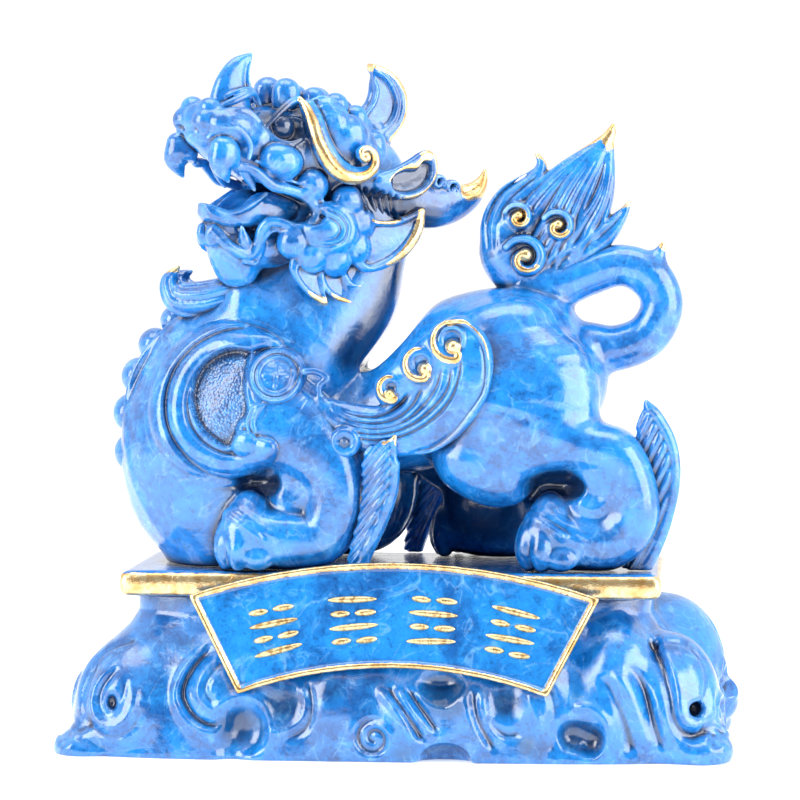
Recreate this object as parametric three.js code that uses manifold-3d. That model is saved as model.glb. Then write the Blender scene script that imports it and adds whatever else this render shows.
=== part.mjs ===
// A pixiu, the winged lion-dragon of Chinese ornament, cast in brass and standing on a rockwork plinth
// with a fan-shaped plaque. Millimetres, +Z up. The origin is the middle of the plinth's underside, the
// beast looks along -X, and the side with the plaque faces -Y.
import * as THREE from "three";
import { mergeVertices } from "three/addons/utils/BufferGeometryUtils.js";
import Module from "manifold-3d";

// Driving dimensions of the figure
const FIGURE_HEIGHT = 202.5; // from the soles to the tip of the horn on the nose

// Driving dimensions of the plinth
const PLINTH_WIDTH = 278;
const PLINTH_DEPTH = 126;
const ROCK_HEIGHT = 60; // underside to the neck below the slab
const SLAB_WIDTH = 213;
const SLAB_DEPTH = 94;
const SLAB_THICKNESS = 12;
const SLAB_EDGE_ROUND = 2.5;
const NECK_INSET = 4; // how far the neck lies inside the slab's edge
const FOLD_DEPTH = 5; // how deep the folds of the rock are cut
const CORNER_SCROLL_RADIUS = 8;

// Driving dimensions of the plaque
const PLAQUE_TOP_WIDTH = 158;
const PLAQUE_BOTTOM_WIDTH = 118;
const PLAQUE_HEIGHT = 41;
const PLAQUE_TOP_RADIUS = 258;
const PLAQUE_BOTTOM_RADIUS = 206;
const PLAQUE_THICKNESS = 4;
const PLAQUE_TILT_DEG = 11; // leans back at the top
const PLAQUE_OFFSET = 3; // its middle is this far along +X from the plinth's middle
const PLAQUE_RISE = 5; // how far its top stands above the slab
const RIM_WIDTH = 2.2;
const RIM_HEIGHT = 1.2;
const STROKE_HEIGHT = 1;
const STROKE_WIDTH = 2;
const STROKE_CLUSTERS = 4;
const STROKE_ROWS = 4;

// Clearance between pieces that are set against each other
const SEAT_GAP = 0.3;

const SLAB_TOP = ROCK_HEIGHT + SLAB_THICKNESS;
const NEAR = -1;
const FAR = 1;

const wasm = await Module();
wasm.setup();

// Turns a closed three.js geometry into a solid that can be joined and cut.
function solidOf(geometry) {
  const bare = new THREE.BufferGeometry();
  bare.setAttribute("position", geometry.getAttribute("position"));
  if (geometry.index) bare.setIndex(geometry.index);
  const merged = mergeVertices(bare, 1e-4);
  return new wasm.Manifold(
    new wasm.Mesh({
      numProp: 3,
      vertProperties: new Float32Array(merged.attributes.position.array),
      triVerts: new Uint32Array(merged.index.array),
    }),
  );
}

// Joins solids one after another.
function joined(solids) {
  return solids.reduce((whole, solid) => whole.add(solid));
}

// Turns a solid back into a three.js geometry.
function geometryOf(solid) {
  const mesh = solid.getMesh();
  const stride = mesh.numProp;
  const positions = new Float32Array(mesh.numVert * 3);
  for (let i = 0; i < mesh.numVert; i++) {
    positions.set(mesh.vertProperties.subarray(i * stride, i * stride + 3), i * 3);
  }
  const geometry = new THREE.BufferGeometry();
  geometry.setAttribute("position", new THREE.BufferAttribute(positions, 3));
  geometry.setIndex(new THREE.BufferAttribute(new Uint32Array(mesh.triVerts), 1));
  geometry.computeVertexNormals();
  return geometry;
}

// Closes a stack of rings, each a list of as many points, with a pole at either end.
function loft(rings, firstPole, lastPole) {
  const sides = rings[0].length;
  const positions = [firstPole, ...rings.flat(), lastPole].flatMap((p) => [p.x, p.y, p.z]);
  const index = [];
  const at = (ring, side) => 1 + ring * sides + (side % sides);
  const last = 1 + rings.length * sides;
  for (let side = 0; side < sides; side++) {
    index.push(0, at(0, side + 1), at(0, side));
    for (let ring = 0; ring + 1 < rings.length; ring++) {
      index.push(at(ring, side), at(ring, side + 1), at(ring + 1, side + 1));
      index.push(at(ring, side), at(ring + 1, side + 1), at(ring + 1, side));
    }
    index.push(last, at(rings.length - 1, side), at(rings.length - 1, side + 1));
  }
  const geometry = new THREE.BufferGeometry();
  geometry.setAttribute("position", new THREE.Float32BufferAttribute(positions, 3));
  geometry.setIndex(index);
  return geometry;
}

// A limb, lock or leaf: an oval carried along a smooth line. Each station is [x, y, z, tall, deep]:
// a point of the line and the oval's half-sizes, tall in the side view and deep along the second axis.
function sweep(stations, { sides = 6, steps = 5, caps = 1 } = {}) {
  const line = new THREE.CatmullRomCurve3(stations.map(([x, y, z]) => new THREE.Vector3(x, y, z)));
  const size = new THREE.CatmullRomCurve3(
    stations.map(([, , , tall, deep]) => new THREE.Vector3(tall, deep, 0)),
    false,
    "catmullrom",
    0.5,
  );
  const ringAt = (t, out, shrink) => {
    const centre = line.getPoint(t);
    const tangent = line.getTangent(t);
    const across = new THREE.Vector3(0, 1, 0).addScaledVector(tangent, -tangent.y).normalize();
    const upward = new THREE.Vector3().crossVectors(across, tangent);
    const { x: tall, y: deep } = size.getPoint(t);
    const middle = centre.addScaledVector(tangent, out * Math.min(tall, deep));
    const ring = [];
    for (let i = 0; i < sides; i++) {
      const angle = (i / sides) * 2 * Math.PI;
      ring.push(
        middle
          .clone()
          .addScaledVector(upward, tall * shrink * Math.cos(angle))
          .addScaledVector(across, deep * shrink * Math.sin(angle)),
      );
    }
    return { ring, middle };
  };
  const rings = [];
  for (let i = 1; i <= caps; i++) {
    const angle = (i / (caps + 1)) * (Math.PI / 2);
    rings.push(ringAt(0, -Math.cos(angle), Math.sin(angle)).ring);
  }
  for (let i = 0; i <= steps; i++) rings.push(ringAt(i / steps, 0, 1).ring);
  for (let i = caps; i >= 1; i--) {
    const angle = (i / (caps + 1)) * (Math.PI / 2);
    rings.push(ringAt(1, Math.cos(angle), Math.sin(angle)).ring);
  }
  return loft(rings, ringAt(0, -1, 0).middle, ringAt(1, 1, 0).middle);
}

// An egg: a ball at a point, with its own half-size along each axis.
function egg([x, y, z], [rx, ry, rz], around = 6, down = 4) {
  return new THREE.SphereGeometry(1, around, down).scale(rx, ry, rz).translate(x, y, z);
}

// A row of round humps side by side along Y, such as toes: one turned form with a bulge for each.
function humps([x, y, z], [rx, rz], { count = 4, pitch = 6.6, around = 6 } = {}) {
  const valley = 0.74;
  const half = (count * pitch) / 2;
  const profile = [new THREE.Vector2(0, -half), new THREE.Vector2(0.85, -half + 0.2 * pitch)];
  for (let i = 0; i < count; i++) {
    const from = -half + i * pitch;
    if (i > 0) profile.push(new THREE.Vector2(valley, from));
    profile.push(new THREE.Vector2(1, from + 0.5 * pitch));
  }
  profile.push(new THREE.Vector2(0.85, half - 0.2 * pitch), new THREE.Vector2(0, half));
  return new THREE.LatheGeometry(profile, around).scale(rx, 1, rz).translate(x, y, z);
}

// The figure's body, in units of its own grid above its soles. The whole figure is brought to its height
// at the end.

function neckAndChest() {
  return sweep(
    [
      [-25, -1, 147, 20, 22],
      [-26, 0, 131, 27, 24],
      [-33, 0, 113, 31, 27],
      [-43, 0, 93, 34, 32],
      [-59, 0, 71, 39, 37],
      [-71, 0, 47, 38.5, 38],
      [-75, 0, 24, 32, 35],
      [-72, 0, 6, 22, 30],
    ],
    { sides: 12, steps: 8 },
  );
}

function barrel() {
  return sweep(
    [
      [-55, 0, 61, 28, 34],
      [-25, 0, 54, 20, 29],
      [-5, 0, 58, 23, 31],
      [20, 0, 67, 31.5, 34],
      [44, 0, 76, 34, 33],
      [62, 0, 73, 28, 30],
      [74, 0, 67, 18, 22],
    ],
    { sides: 12, steps: 7 },
  );
}

// Broad plates that run down the front of the chest, as one scalloped ridge that swells at each plate.
function chestPlates() {
  const centre = { x: -66, z: 48 };
  const arcRadius = 41.5;
  const firstAngle = 1.94;
  const lastAngle = 4.1;
  const count = 8;
  const stations = [];
  for (let i = 0; i <= 2 * count; i++) {
    const angle = firstAngle + ((lastAngle - firstAngle) * i) / (2 * count);
    const swell = i % 2 ? 1 : 0.62;
    const x = centre.x + arcRadius * Math.cos(angle);
    const z = centre.z + arcRadius * Math.sin(angle);
    stations.push([x, 0, z, 9 * swell, 17 * swell]);
  }
  return sweep(stations, { sides: 6, steps: 2 * count });
}

// The front of a paw: a row of rounded toes that reach down to the ground.
function toes([x, y, z]) {
  return humps([x - 8, y, z - 2.5], [8.5, 12.5]);
}

// The breast fills the room between the forelegs, down to the ground.
function breast() {
  return egg([-42, 0, 34], [38, 31, 33], 10, 7);
}

// A foreleg lies along the ground from the elbow to the paw, with a fin on the elbow. Reach moves the
// paw forward and the elbow back.
function foreleg(side, reach) {
  const paw = [-58 - reach, 35 * side, 13.5];
  return [
    sweep(
      [
        [-60, 27 * side, 65, 26, 14],
        [-40 + reach * 0.3, 31 * side, 54, 23, 14.5],
        [-27 + reach, 33 * side, 40, 19, 14],
        [-21 + reach, 33 * side, 26, 17, 14],
        [-28 + reach, 33 * side, 14, 14, 13.5],
        [-43, 34 * side, 11, 12, 13],
        [...paw, 13, 14],
      ],
      { sides: 9, steps: 8 },
    ),
    toes(paw),
    sweep([
      [-2 + reach, 37 * side, 55, 1, 1.5],
      [-6 + reach, 37 * side, 45, 6, 3],
      [-8 + reach, 37 * side, 28, 9, 3.4],
      [-11 + reach, 37 * side, 12, 8, 3.4],
      [-15 + reach, 37 * side, 0, 5, 3],
    ]),
  ];
}

// A hind leg: the haunch, the folded shank, the long foot and a fin on the heel. Stride moves the foot
// forward.
function hindleg(side, stride) {
  const foot = [59 - stride, 29 * side, 13.5];
  return [
    sweep(
      [
        [44, 18 * side, 88, 22, 17],
        [49 - stride * 0.2, 24 * side, 68, 34.5, 20.5],
        [37 - stride * 0.4, 26 * side, 47, 23, 17],
      ],
      { sides: 10, steps: 4, caps: 2 },
    ),
    sweep(
      [
        [66 - stride * 0.3, 25 * side, 60, 23, 17],
        [85 - stride * 0.8, 28 * side, 41, 19, 16],
        [90 - stride, 28 * side, 26, 17, 15],
        [87 - stride, 28 * side, 13, 14, 15],
        [75 - stride, 28 * side, 11, 12, 13.5],
        [...foot, 13, 14],
      ],
      { sides: 9, steps: 7 },
    ),
    toes(foot),
    egg([68 - stride * 0.9, 24 * side, 28], [20, 12, 25], 8, 6),
    sweep([
      [96 - stride, 28 * side, 66, 1, 1.2],
      [102 - stride, 28 * side, 54, 4.5, 2.6],
      [103 - stride, 28 * side, 38, 8, 3],
      [103 - stride, 28 * side, 20, 8, 3],
      [98 - stride, 28 * side, 0, 6, 3],
    ]),
  ];
}

// A wing lies along the flank in low relief and curls up over the haunch, with a row of round curls
// along its inner edge and a boss at its root.
function wing(side) {
  return [
    sweep(
      [
        [-35, 37 * side, 67, 2, 3],
        [-20, 39 * side, 59.5, 6.5, 5],
        [-3, 39 * side, 54, 10, 6],
        [14, 41 * side, 58, 11.5, 6],
        [26, 43 * side, 69, 12, 5.5],
        [29, 43 * side, 84, 11.5, 5],
        [24, 42 * side, 94, 7, 4],
      ],
      { sides: 7, steps: 8 },
    ),
    sweep(
      [
        [-12, 40 * side, 65, 5, 5],
        [-3, 41 * side, 71, 8, 6.5],
        [3, 41 * side, 75, 6.5, 5.5],
        [9, 42 * side, 79.5, 8.5, 7],
        [16, 42 * side, 84, 7, 5.5],
        [22, 43 * side, 88.5, 8.5, 7],
      ],
      { steps: 5 },
    ),
    egg([-19, 43 * side, 50.5], [5.5, 5, 5.5]),
  ];
}

// The shoulder's ornament: a coin, and a hooked ridge that winds round a dished panel.
function shoulderRidge(side) {
  return [
    sweep(
      [
        [-42, 40 * side, 84, 3.5, 4],
        [-58, 40 * side, 88, 4, 4],
        [-74, 38 * side, 82, 4.5, 4.5],
        [-81, 37 * side, 66, 4.5, 4.5],
        [-74, 39 * side, 51, 5, 4.5],
        [-60, 41 * side, 45, 5, 4.5],
        [-51, 42 * side, 49, 3, 3.5],
      ],
      { sides: 6, steps: 10 },
    ),
    new THREE.CylinderGeometry(10.4, 10.4, 12, 14).translate(-46, 38.5 * side, 76.5),
  ];
}

function shoulderDish(side) {
  return egg([-64, 50 * side, 67], [15, 11, 17], 10, 7);
}

// The tail rises behind the haunches, loops over and lies along the back, where it breaks into flames
// with three round curls on either face.
function tail() {
  const middle = 3;
  const flames = [
    [
      [46, middle, 117, 9, 9],
      [41, middle, 135, 9.5, 9],
      [45, middle, 149, 9, 7.5],
      [52, middle, 155, 5.5, 5],
      [55, middle, 163, 1.2, 1.5],
    ],
    [
      [54, middle, 124, 13, 10],
      [60, middle, 143, 15.5, 9],
      [70, middle, 156, 11, 7],
      [79, middle, 166, 5.5, 4.5],
      [83.5, middle, 174.5, 1.2, 1.5],
    ],
    [
      [62, middle, 122, 8, 8],
      [75, middle, 131, 9, 7],
      [83, middle, 136, 5.5, 4.5],
      [89.5, middle, 142.5, 1.2, 1.5],
    ],
  ];
  const curls = [
    [[47, 136], 5.8],
    [[63.5, 136.5], 6.4],
    [[49.5, 123], 8.6],
  ];
  return [
    sweep(
      [
        [60, 0, 82, 12, 12],
        [73, 2, 86.5, 9.8, 10],
        [86.5, 3, 85.5, 9.2, 9.4],
        [99.5, 3, 91, 8.8, 9],
        [105, 3, 103, 8.4, 8.6],
        [100, 3, 114.5, 8.4, 8.6],
        [88.5, 3, 118.5, 8.4, 8.6],
        [75.5, 3, 115, 8.8, 9],
        [63, 3, 111, 9.6, 9.6],
        [51, 3, 115, 11, 10.5],
        [45, 3, 124, 12, 10],
      ],
      { sides: 8, steps: 16 },
    ),
    ...flames.map((flame) => sweep(flame, { sides: 7, steps: 5 })),
    sweep(
      [
        [98, 3, 112, 6, 5],
        [103, 3, 121, 3.4, 3],
        [106, 3, 128.5, 0.8, 0.8],
      ],
      { sides: 5, steps: 3 },
    ),
    ...curls.map(([[x, z], radius]) => egg([x, middle, z], [radius, 13, radius])),
  ];
}

// The head is carved in its own frame: forward along the snout, left, which is the side with the
// plaque, and up. It is turned to that side and lifted.
const HEAD_AT = [-31, -2, 159];
const HEAD_TURN_DEG = 42;
const HEAD_LIFT_DEG = 12;
const HEAD_LEAN_DEG = 4;

function headFrame() {
  const rad = THREE.MathUtils.degToRad;
  const facing = new THREE.Matrix4().makeRotationZ(Math.PI + rad(HEAD_TURN_DEG));
  const lifted = new THREE.Matrix4().makeRotationY(-rad(HEAD_LIFT_DEG));
  const leaned = new THREE.Matrix4().makeRotationX(-rad(HEAD_LEAN_DEG));
  return new THREE.Matrix4()
    .makeTranslation(...HEAD_AT)
    .multiply(facing)
    .multiply(lifted)
    .multiply(leaned);
}

function skull() {
  return [
    sweep(
      [
        [-18, 0, -3, 20, 22],
        [0, 0, 0, 22.5, 27],
        [16, 0, 1, 20.5, 25],
        [31, 0, 0, 17, 22],
        [45, 0, -1, 12.5, 20],
        [57, 0, -1, 9.5, 17],
        [62, 0, -1, 6.5, 12],
      ],
      { sides: 11, steps: 6 },
    ),
    egg([65, 0, 4], [5.5, 9, 6]),
    sweep([
      [45, 0, 6, 10, 6.5],
      [47.5, 0, 18, 9, 5],
      [48, 0, 27, 5.5, 3.4],
      [43.5, 0, 34.5, 0.8, 0.8],
    ]),
    sweep([
      [-14, 0, 10, 10, 7],
      [-25, 0, 19, 9.5, 5.5],
      [-28, 0, 31, 6.5, 4],
      [-15, 0, 45, 0.8, 0.8],
    ]),
    ...foreheadLocks(),
  ];
}

// Rows of round locks over the forehead and crown.
function foreheadLocks() {
  const rows = [
    [[27, 0, 18], [7.5, 9]],
    [[14.5, 0, 18.5], [7.5, 9.5]],
    [[1.5, 0, 18], [7.5, 9.5]],
    [[-10, 0, 14], [7.5, 8.5]],
  ];
  return rows.map(([at, half]) => humps(at, half, { count: 3, pitch: 13 }));
}

function jaw() {
  return [
    sweep(
      [
        [-12, 0, -14, 18, 24],
        [6, 0, -28, 15, 23],
        [20, 0, -38, 12, 18],
        [31, 0, -42, 9, 12],
        [36, 0, -43, 6.5, 8.5],
      ],
      { sides: 10, steps: 5 },
    ),
    sweep(
      [
        [2, 0, -17, 7, 14],
        [18, 0, -25, 7, 13],
        [32, 0, -31, 6.5, 11],
        [42, 0, -31, 4.5, 8],
        [48, 0, -28, 1.8, 4],
      ],
      { sides: 8, steps: 5 },
    ),
  ];
}

// What the head has on both sides, left or right.
function headSide(side) {
  const brow = [
    [30, 13, 22, 2.6, 3.2],
    [25, 20.5, 11, 3.4, 3.6],
    [17, 26, -2, 3.4, 3.6],
    [6, 29.5, -6.5, 3, 3.4],
    [-2, 30, -0.5, 2.6, 3],
    [-0.5, 30.5, 7.5, 2.2, 2.8],
  ];
  const tapered = [
    // Fang
    [
      [54, 17.5, -2, 6, 5.5],
      [58, 18, -8, 4.8, 5],
      [57.5, 17.5, -13, 3, 3],
      [54, 17, -16.5, 0.8, 0.8],
    ],
    // Ear
    [
      [-8, 25, -4, 6, 4],
      [-17, 29.5, -3, 8.5, 4.4],
      [-24, 32, 3, 6, 3.4],
      [-25, 34, 11.5, 0.9, 0.9],
    ],
    // Lock of the mane
    [
      [-14, 18, -12, 10, 9],
      [-27, 23, -12, 11, 8],
      [-40, 26, -9, 9, 6.5],
      [-50, 28, -2, 6, 4.5],
      [-57, 30, 11, 1.1, 1.1],
    ],
    // Leaves behind and below the jaw
    [
      [-2, 25, -28, 11, 4.5],
      [-12, 28, -25, 12, 3],
      [-21, 30.5, -19, 8, 2.4],
      [-29, 32, -10, 0.9, 0.9],
    ],
    [
      [10, 19, -40, 7, 3.5],
      [5, 21, -48, 5, 2.6],
      [0, 22.5, -54.5, 0.9, 0.9],
    ],
    [
      [0, 20, -40, 7, 3.5],
      [-5, 23, -46.5, 5, 2.6],
      [-11, 24.5, -52, 0.9, 0.9],
    ],
    [
      [-7, 22, -35, 7, 3.5],
      [-15, 25.5, -39, 4.6, 2.6],
      [-23, 27.5, -40.5, 0.9, 0.9],
    ],
  ];
  const cheek = [
    [40, 18, -4, 6, 6],
    [30, 21, -7, 8, 7.5],
    [17, 23.5, -13, 7, 6.5],
    [5, 25.5, -17, 8.5, 7.5],
  ];
  const jowl = [
    [-4, 24, -21, 8, 7.5],
    [-1, 24.5, -31, 10, 8.5],
    [10, 20, -37, 9, 8],
    [21, 17, -37, 7, 7],
  ];
  // Middle and half-sizes of each round form: muzzle, nostril, eye and temple
  const eggs = [
    [[49, 15.5, 3], [10.5, 9, 10]],
    [[60, 8, 5], [6, 6, 6]],
    [[37, 19.5, 8], [6, 5.5, 6]],
    [[4, 23, 11], [9, 8, 10]],
  ];
  const turned = ([x, y, z, ...rest]) => [x, y * side, z, ...rest];
  return [
    sweep(brow.map(turned), { sides: 5, steps: 9 }),
    sweep(cheek.map(turned), { steps: 3 }),
    sweep(jowl.map(turned), { steps: 3 }),
    ...tapered.map((lock) => sweep(lock.map(turned), { sides: 5, steps: lock.length - 1 })),
    ...eggs.map(([at, half]) => egg(turned(at), half)),
  ];
}

// The beard breaks forward from under the chin and turns up to a point.
function beard() {
  return sweep(
    [
      [-52, -16, 110, 6, 9],
      [-63, -18, 108, 7, 9],
      [-77, -18, 105, 7.5, 8],
      [-86, -17, 106, 6.5, 6.5],
      [-89.5, -16, 112.5, 4, 4],
      [-86, -16, 118, 1, 1],
    ],
    { sides: 8, steps: 7 },
  );
}

function pixiuSolid() {
  const head = [...skull(), ...jaw(), ...headSide(1), ...headSide(-1)].map((form) =>
    form.applyMatrix4(headFrame()),
  );
  const sides = [NEAR, FAR];
  const forms = [
    neckAndChest(),
    barrel(),
    breast(),
    chestPlates(),
    ...foreleg(NEAR, 0),
    ...foreleg(FAR, 13),
    ...hindleg(NEAR, 0),
    ...hindleg(FAR, 38),
    ...sides.flatMap(wing),
    ...tail(),
    ...head,
    beard(),
  ];
  const dished = sides.reduce(
    (whole, side) => whole.subtract(solidOf(shoulderDish(side))),
    joined(forms.map(solidOf)),
  );
  const dressed = joined([dished, ...sides.flatMap(shoulderRidge).map(solidOf)]);
  const below = solidOf(new THREE.BoxGeometry(400, 200, 60).translate(0, 0, -30));
  return dressed.subtract(below);
}

// The plinth

// Half-width and half-depth of the rock and slab at each height, from the underside up.
function plinthProfile() {
  const halfWidth = PLINTH_WIDTH / 2;
  const halfDepth = PLINTH_DEPTH / 2;
  const slabWidth = SLAB_WIDTH / 2;
  const slabDepth = SLAB_DEPTH / 2;
  const rock = [
    [0, 0.985, 0.985],
    [0.1, 1, 1],
    [0.25, 0.935, 0.97],
    [0.42, 0.9, 0.93],
    [0.6, 0.87, 0.875],
    [0.78, 0.825, 0.79],
    [0.92, 0.785, 0.715],
  ];
  return [
    ...rock.map(([height, wide, deep]) => ({
      z: ROCK_HEIGHT * height,
      a: halfWidth * wide,
      b: halfDepth * deep,
      fold: FOLD_DEPTH * Math.sin(Math.PI * Math.min(1, 0.15 + height)),
    })),
    { z: ROCK_HEIGHT, a: slabWidth - NECK_INSET, b: slabDepth - NECK_INSET, fold: 0 },
    { z: ROCK_HEIGHT + SLAB_EDGE_ROUND, a: slabWidth, b: slabDepth, fold: 0 },
    { z: SLAB_TOP - SLAB_EDGE_ROUND / 2, a: slabWidth, b: slabDepth, fold: 0 },
    { z: SLAB_TOP, a: slabWidth - SLAB_EDGE_ROUND / 2, b: slabDepth - SLAB_EDGE_ROUND / 2, fold: 0 },
  ];
}

// Rockwork that flows down from the slab in folds, with a curl at each corner, and a bed for the plaque.
function plinthSolid() {
  const sides = 48;
  const squareness = 0.42; // 1 is an oval, smaller is nearer a rectangle
  const foldCount = 9;
  const foldTwist = 0.9;
  const rings = plinthProfile().map(({ z, a, b, fold }) => {
    const ring = [];
    for (let i = 0; i < sides; i++) {
      const angle = (i / sides) * 2 * Math.PI;
      const c = Math.cos(angle);
      const s = Math.sin(angle);
      const wave = Math.abs(Math.sin((foldCount * angle) / 2 + (foldTwist * z) / ROCK_HEIGHT));
      const cut = fold * (1 - wave) ** 1.5;
      const x = (a - cut) * Math.sign(c) * Math.abs(c) ** squareness;
      const y = (b - cut) * Math.sign(s) * Math.abs(s) ** squareness;
      ring.push(new THREE.Vector3(x, y, z));
    }
    return ring;
  });
  const body = loft(rings, new THREE.Vector3(0, 0, 0), new THREE.Vector3(0, 0, SLAB_TOP));
  const inset = CORNER_SCROLL_RADIUS * 1.7;
  const corners = [-1, 1].flatMap((right) =>
    [-1, 1].map((back) =>
      egg(
        [right * (PLINTH_WIDTH / 2 - inset), back * (PLINTH_DEPTH / 2 - inset), CORNER_SCROLL_RADIUS * 0.9],
        [CORNER_SCROLL_RADIUS * 1.3, CORNER_SCROLL_RADIUS * 1.3, CORNER_SCROLL_RADIUS],
        10,
        6,
      ),
    ),
  );
  const floor = solidOf(
    new THREE.BoxGeometry(2 * PLINTH_WIDTH, 2 * PLINTH_DEPTH, PLINTH_WIDTH).translate(0, 0, -PLINTH_WIDTH / 2),
  );
  return joined([body, ...corners, plaqueBed()].map(solidOf)).subtract(floor);
}

// The plaque

// The fan's outline, inset by a margin, with its origin at the middle of the upper arc.
function fanShape(margin) {
  const arcPoint = (radius, halfChord, t, drop) => {
    const reach = Math.asin(halfChord / radius);
    const angle = Math.PI / 2 + reach * t;
    return [radius * Math.cos(angle), radius * Math.sin(angle) - radius - drop];
  };
  const slant = (PLAQUE_TOP_WIDTH - PLAQUE_BOTTOM_WIDTH) / 2 / PLAQUE_HEIGHT;
  const sideInset = margin * Math.hypot(1, slant);
  const steps = 10;
  const points = [];
  for (let i = 0; i <= steps; i++) {
    const t = (2 * i) / steps - 1;
    const half = PLAQUE_TOP_WIDTH / 2 - sideInset - margin * slant;
    points.push(arcPoint(PLAQUE_TOP_RADIUS, half, t, margin));
  }
  for (let i = 0; i <= steps; i++) {
    const t = 1 - (2 * i) / steps;
    const half = PLAQUE_BOTTOM_WIDTH / 2 - sideInset + margin * slant;
    points.push(arcPoint(PLAQUE_BOTTOM_RADIUS, half, t, PLAQUE_HEIGHT - margin));
  }
  return new THREE.Shape(points.map(([x, y]) => new THREE.Vector2(x, y)));
}

// Carries a plate that lies in its own XY plane, front towards +Z, to its place on the plinth: its foot
// clears the rock's swell and its top clears the slab. Depth is how far the plate's local zero lies
// behind the plaque's front face.
function onPlinth(geometry, depth) {
  const tilt = THREE.MathUtils.degToRad(PLAQUE_TILT_DEG);
  const plate = PLAQUE_THICKNESS / Math.cos(tilt) + SEAT_GAP;
  const rockAtFoot = 0.9 * (PLINTH_DEPTH / 2);
  const footFront = -(rockAtFoot + plate);
  const topFront = Math.min(footFront + PLAQUE_HEIGHT * Math.sin(tilt), -(SLAB_DEPTH / 2 + plate));
  return geometry
    .translate(0, 0, -depth)
    .rotateX(Math.PI / 2 - tilt)
    .translate(PLAQUE_OFFSET, topFront, SLAB_TOP + PLAQUE_RISE);
}

// A fan-shaped block of the plinth that the plaque is set against.
function plaqueBed() {
  const bedMargin = PLAQUE_RISE + 1;
  const bedDepth = PLINTH_DEPTH / 2;
  const block = new THREE.ExtrudeGeometry(fanShape(bedMargin), { depth: bedDepth, bevelEnabled: false });
  return onPlinth(block, PLAQUE_THICKNESS + SEAT_GAP + bedDepth);
}

// Raised strokes in rows, in clusters along the fan. They only stand for an inscription.
function strokes() {
  const clusterWidth = 17;
  const rowPitch = 5.2;
  const midRadius = PLAQUE_TOP_RADIUS - PLAQUE_HEIGHT / 2;
  const clusterPitch = (0.82 * (PLAQUE_TOP_WIDTH + PLAQUE_BOTTOM_WIDTH)) / 2 / STROKE_CLUSTERS;
  const solids = [];
  for (let cluster = 0; cluster < STROKE_CLUSTERS; cluster++) {
    const along = (cluster - (STROKE_CLUSTERS - 1) / 2) * clusterPitch;
    const turn = -along / midRadius;
    for (let row = 0; row < STROKE_ROWS; row++) {
      const length = clusterWidth * (row % 2 === cluster % 2 ? 1 : 0.62);
      const half = STROKE_WIDTH / 2;
      const bar = new THREE.Shape();
      bar.moveTo(-length / 2, -half);
      bar.lineTo(length / 2, -half * 0.6);
      bar.lineTo(length / 2 + half, 0);
      bar.lineTo(length / 2, half);
      bar.lineTo(-length / 2, half);
      bar.lineTo(-length / 2 - half, 0);
      const rise = (row - (STROKE_ROWS - 1) / 2) * rowPitch;
      solids.push(
        new THREE.ExtrudeGeometry(bar, { depth: STROKE_HEIGHT + PLAQUE_THICKNESS / 2, bevelEnabled: false })
          .translate(0, midRadius + rise, -PLAQUE_THICKNESS / 2)
          .rotateZ(turn)
          .translate(0, -PLAQUE_TOP_RADIUS, 0),
      );
    }
  }
  return solids;
}

function plaqueSolid() {
  const rimOutline = fanShape(0);
  rimOutline.holes.push(fanShape(RIM_WIDTH));
  const plate = new THREE.ExtrudeGeometry(fanShape(0), { depth: PLAQUE_THICKNESS, bevelEnabled: false });
  const rim = new THREE.ExtrudeGeometry(rimOutline, {
    depth: RIM_HEIGHT + PLAQUE_THICKNESS / 2,
    bevelEnabled: false,
  }).translate(0, 0, -PLAQUE_THICKNESS / 2);
  const front = [rim, ...strokes()].map((form) => solidOf(onPlinth(form, 0)));
  return joined([solidOf(onPlinth(plate, PLAQUE_THICKNESS)), ...front]);
}

// Colour and finish of each piece

function lacquer(color) {
  return new THREE.MeshStandardMaterial({ color, roughness: 0.22, metalness: 0.0 });
}

function piece(name, solid, material) {
  const mesh = new THREE.Mesh(geometryOf(solid), material);
  mesh.name = name;
  return mesh;
}

const model = new THREE.Group();
model.add(piece("plinth", plinthSolid(), lacquer(0x1f73c9)));
model.add(piece("plaque", plaqueSolid(), lacquer(0x1d6cc4)));

const pixiu = piece("pixiu", pixiuSolid(), lacquer(0x1b78d6));
pixiu.geometry.computeBoundingBox();
pixiu.scale.setScalar(FIGURE_HEIGHT / pixiu.geometry.boundingBox.max.z);
pixiu.position.z = SLAB_TOP + SEAT_GAP;
model.add(pixiu);

export default model;
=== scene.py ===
"""Lacquered pixiu on a carved rock base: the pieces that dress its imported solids.

Forms are carved as distance fields in millimetres, joined and cut there, and turned into closed meshes.
"""

import logging
import math
from concurrent.futures import ThreadPoolExecutor
from dataclasses import dataclass, field
from enum import Enum
from typing import Callable, Optional, Sequence

import bpy
import numpy as np
from mathutils import Matrix, Vector


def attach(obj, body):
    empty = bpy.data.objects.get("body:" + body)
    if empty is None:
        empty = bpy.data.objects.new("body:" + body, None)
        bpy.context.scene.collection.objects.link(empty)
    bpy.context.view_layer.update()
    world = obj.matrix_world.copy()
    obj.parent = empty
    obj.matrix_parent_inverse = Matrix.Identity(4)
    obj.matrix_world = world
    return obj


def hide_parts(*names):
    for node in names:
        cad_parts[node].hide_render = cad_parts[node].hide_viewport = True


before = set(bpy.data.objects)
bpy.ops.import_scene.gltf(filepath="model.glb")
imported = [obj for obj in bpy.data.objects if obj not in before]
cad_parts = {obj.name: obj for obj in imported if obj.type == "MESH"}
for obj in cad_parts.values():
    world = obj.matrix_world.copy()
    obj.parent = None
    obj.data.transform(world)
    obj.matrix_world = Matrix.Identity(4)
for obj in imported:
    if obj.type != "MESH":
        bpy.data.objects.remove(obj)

log = logging.getLogger("pixiu")

Points = Sequence[Sequence[float]]
Axes = Sequence[np.ndarray]
Bounds = tuple[np.ndarray, np.ndarray]

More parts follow.
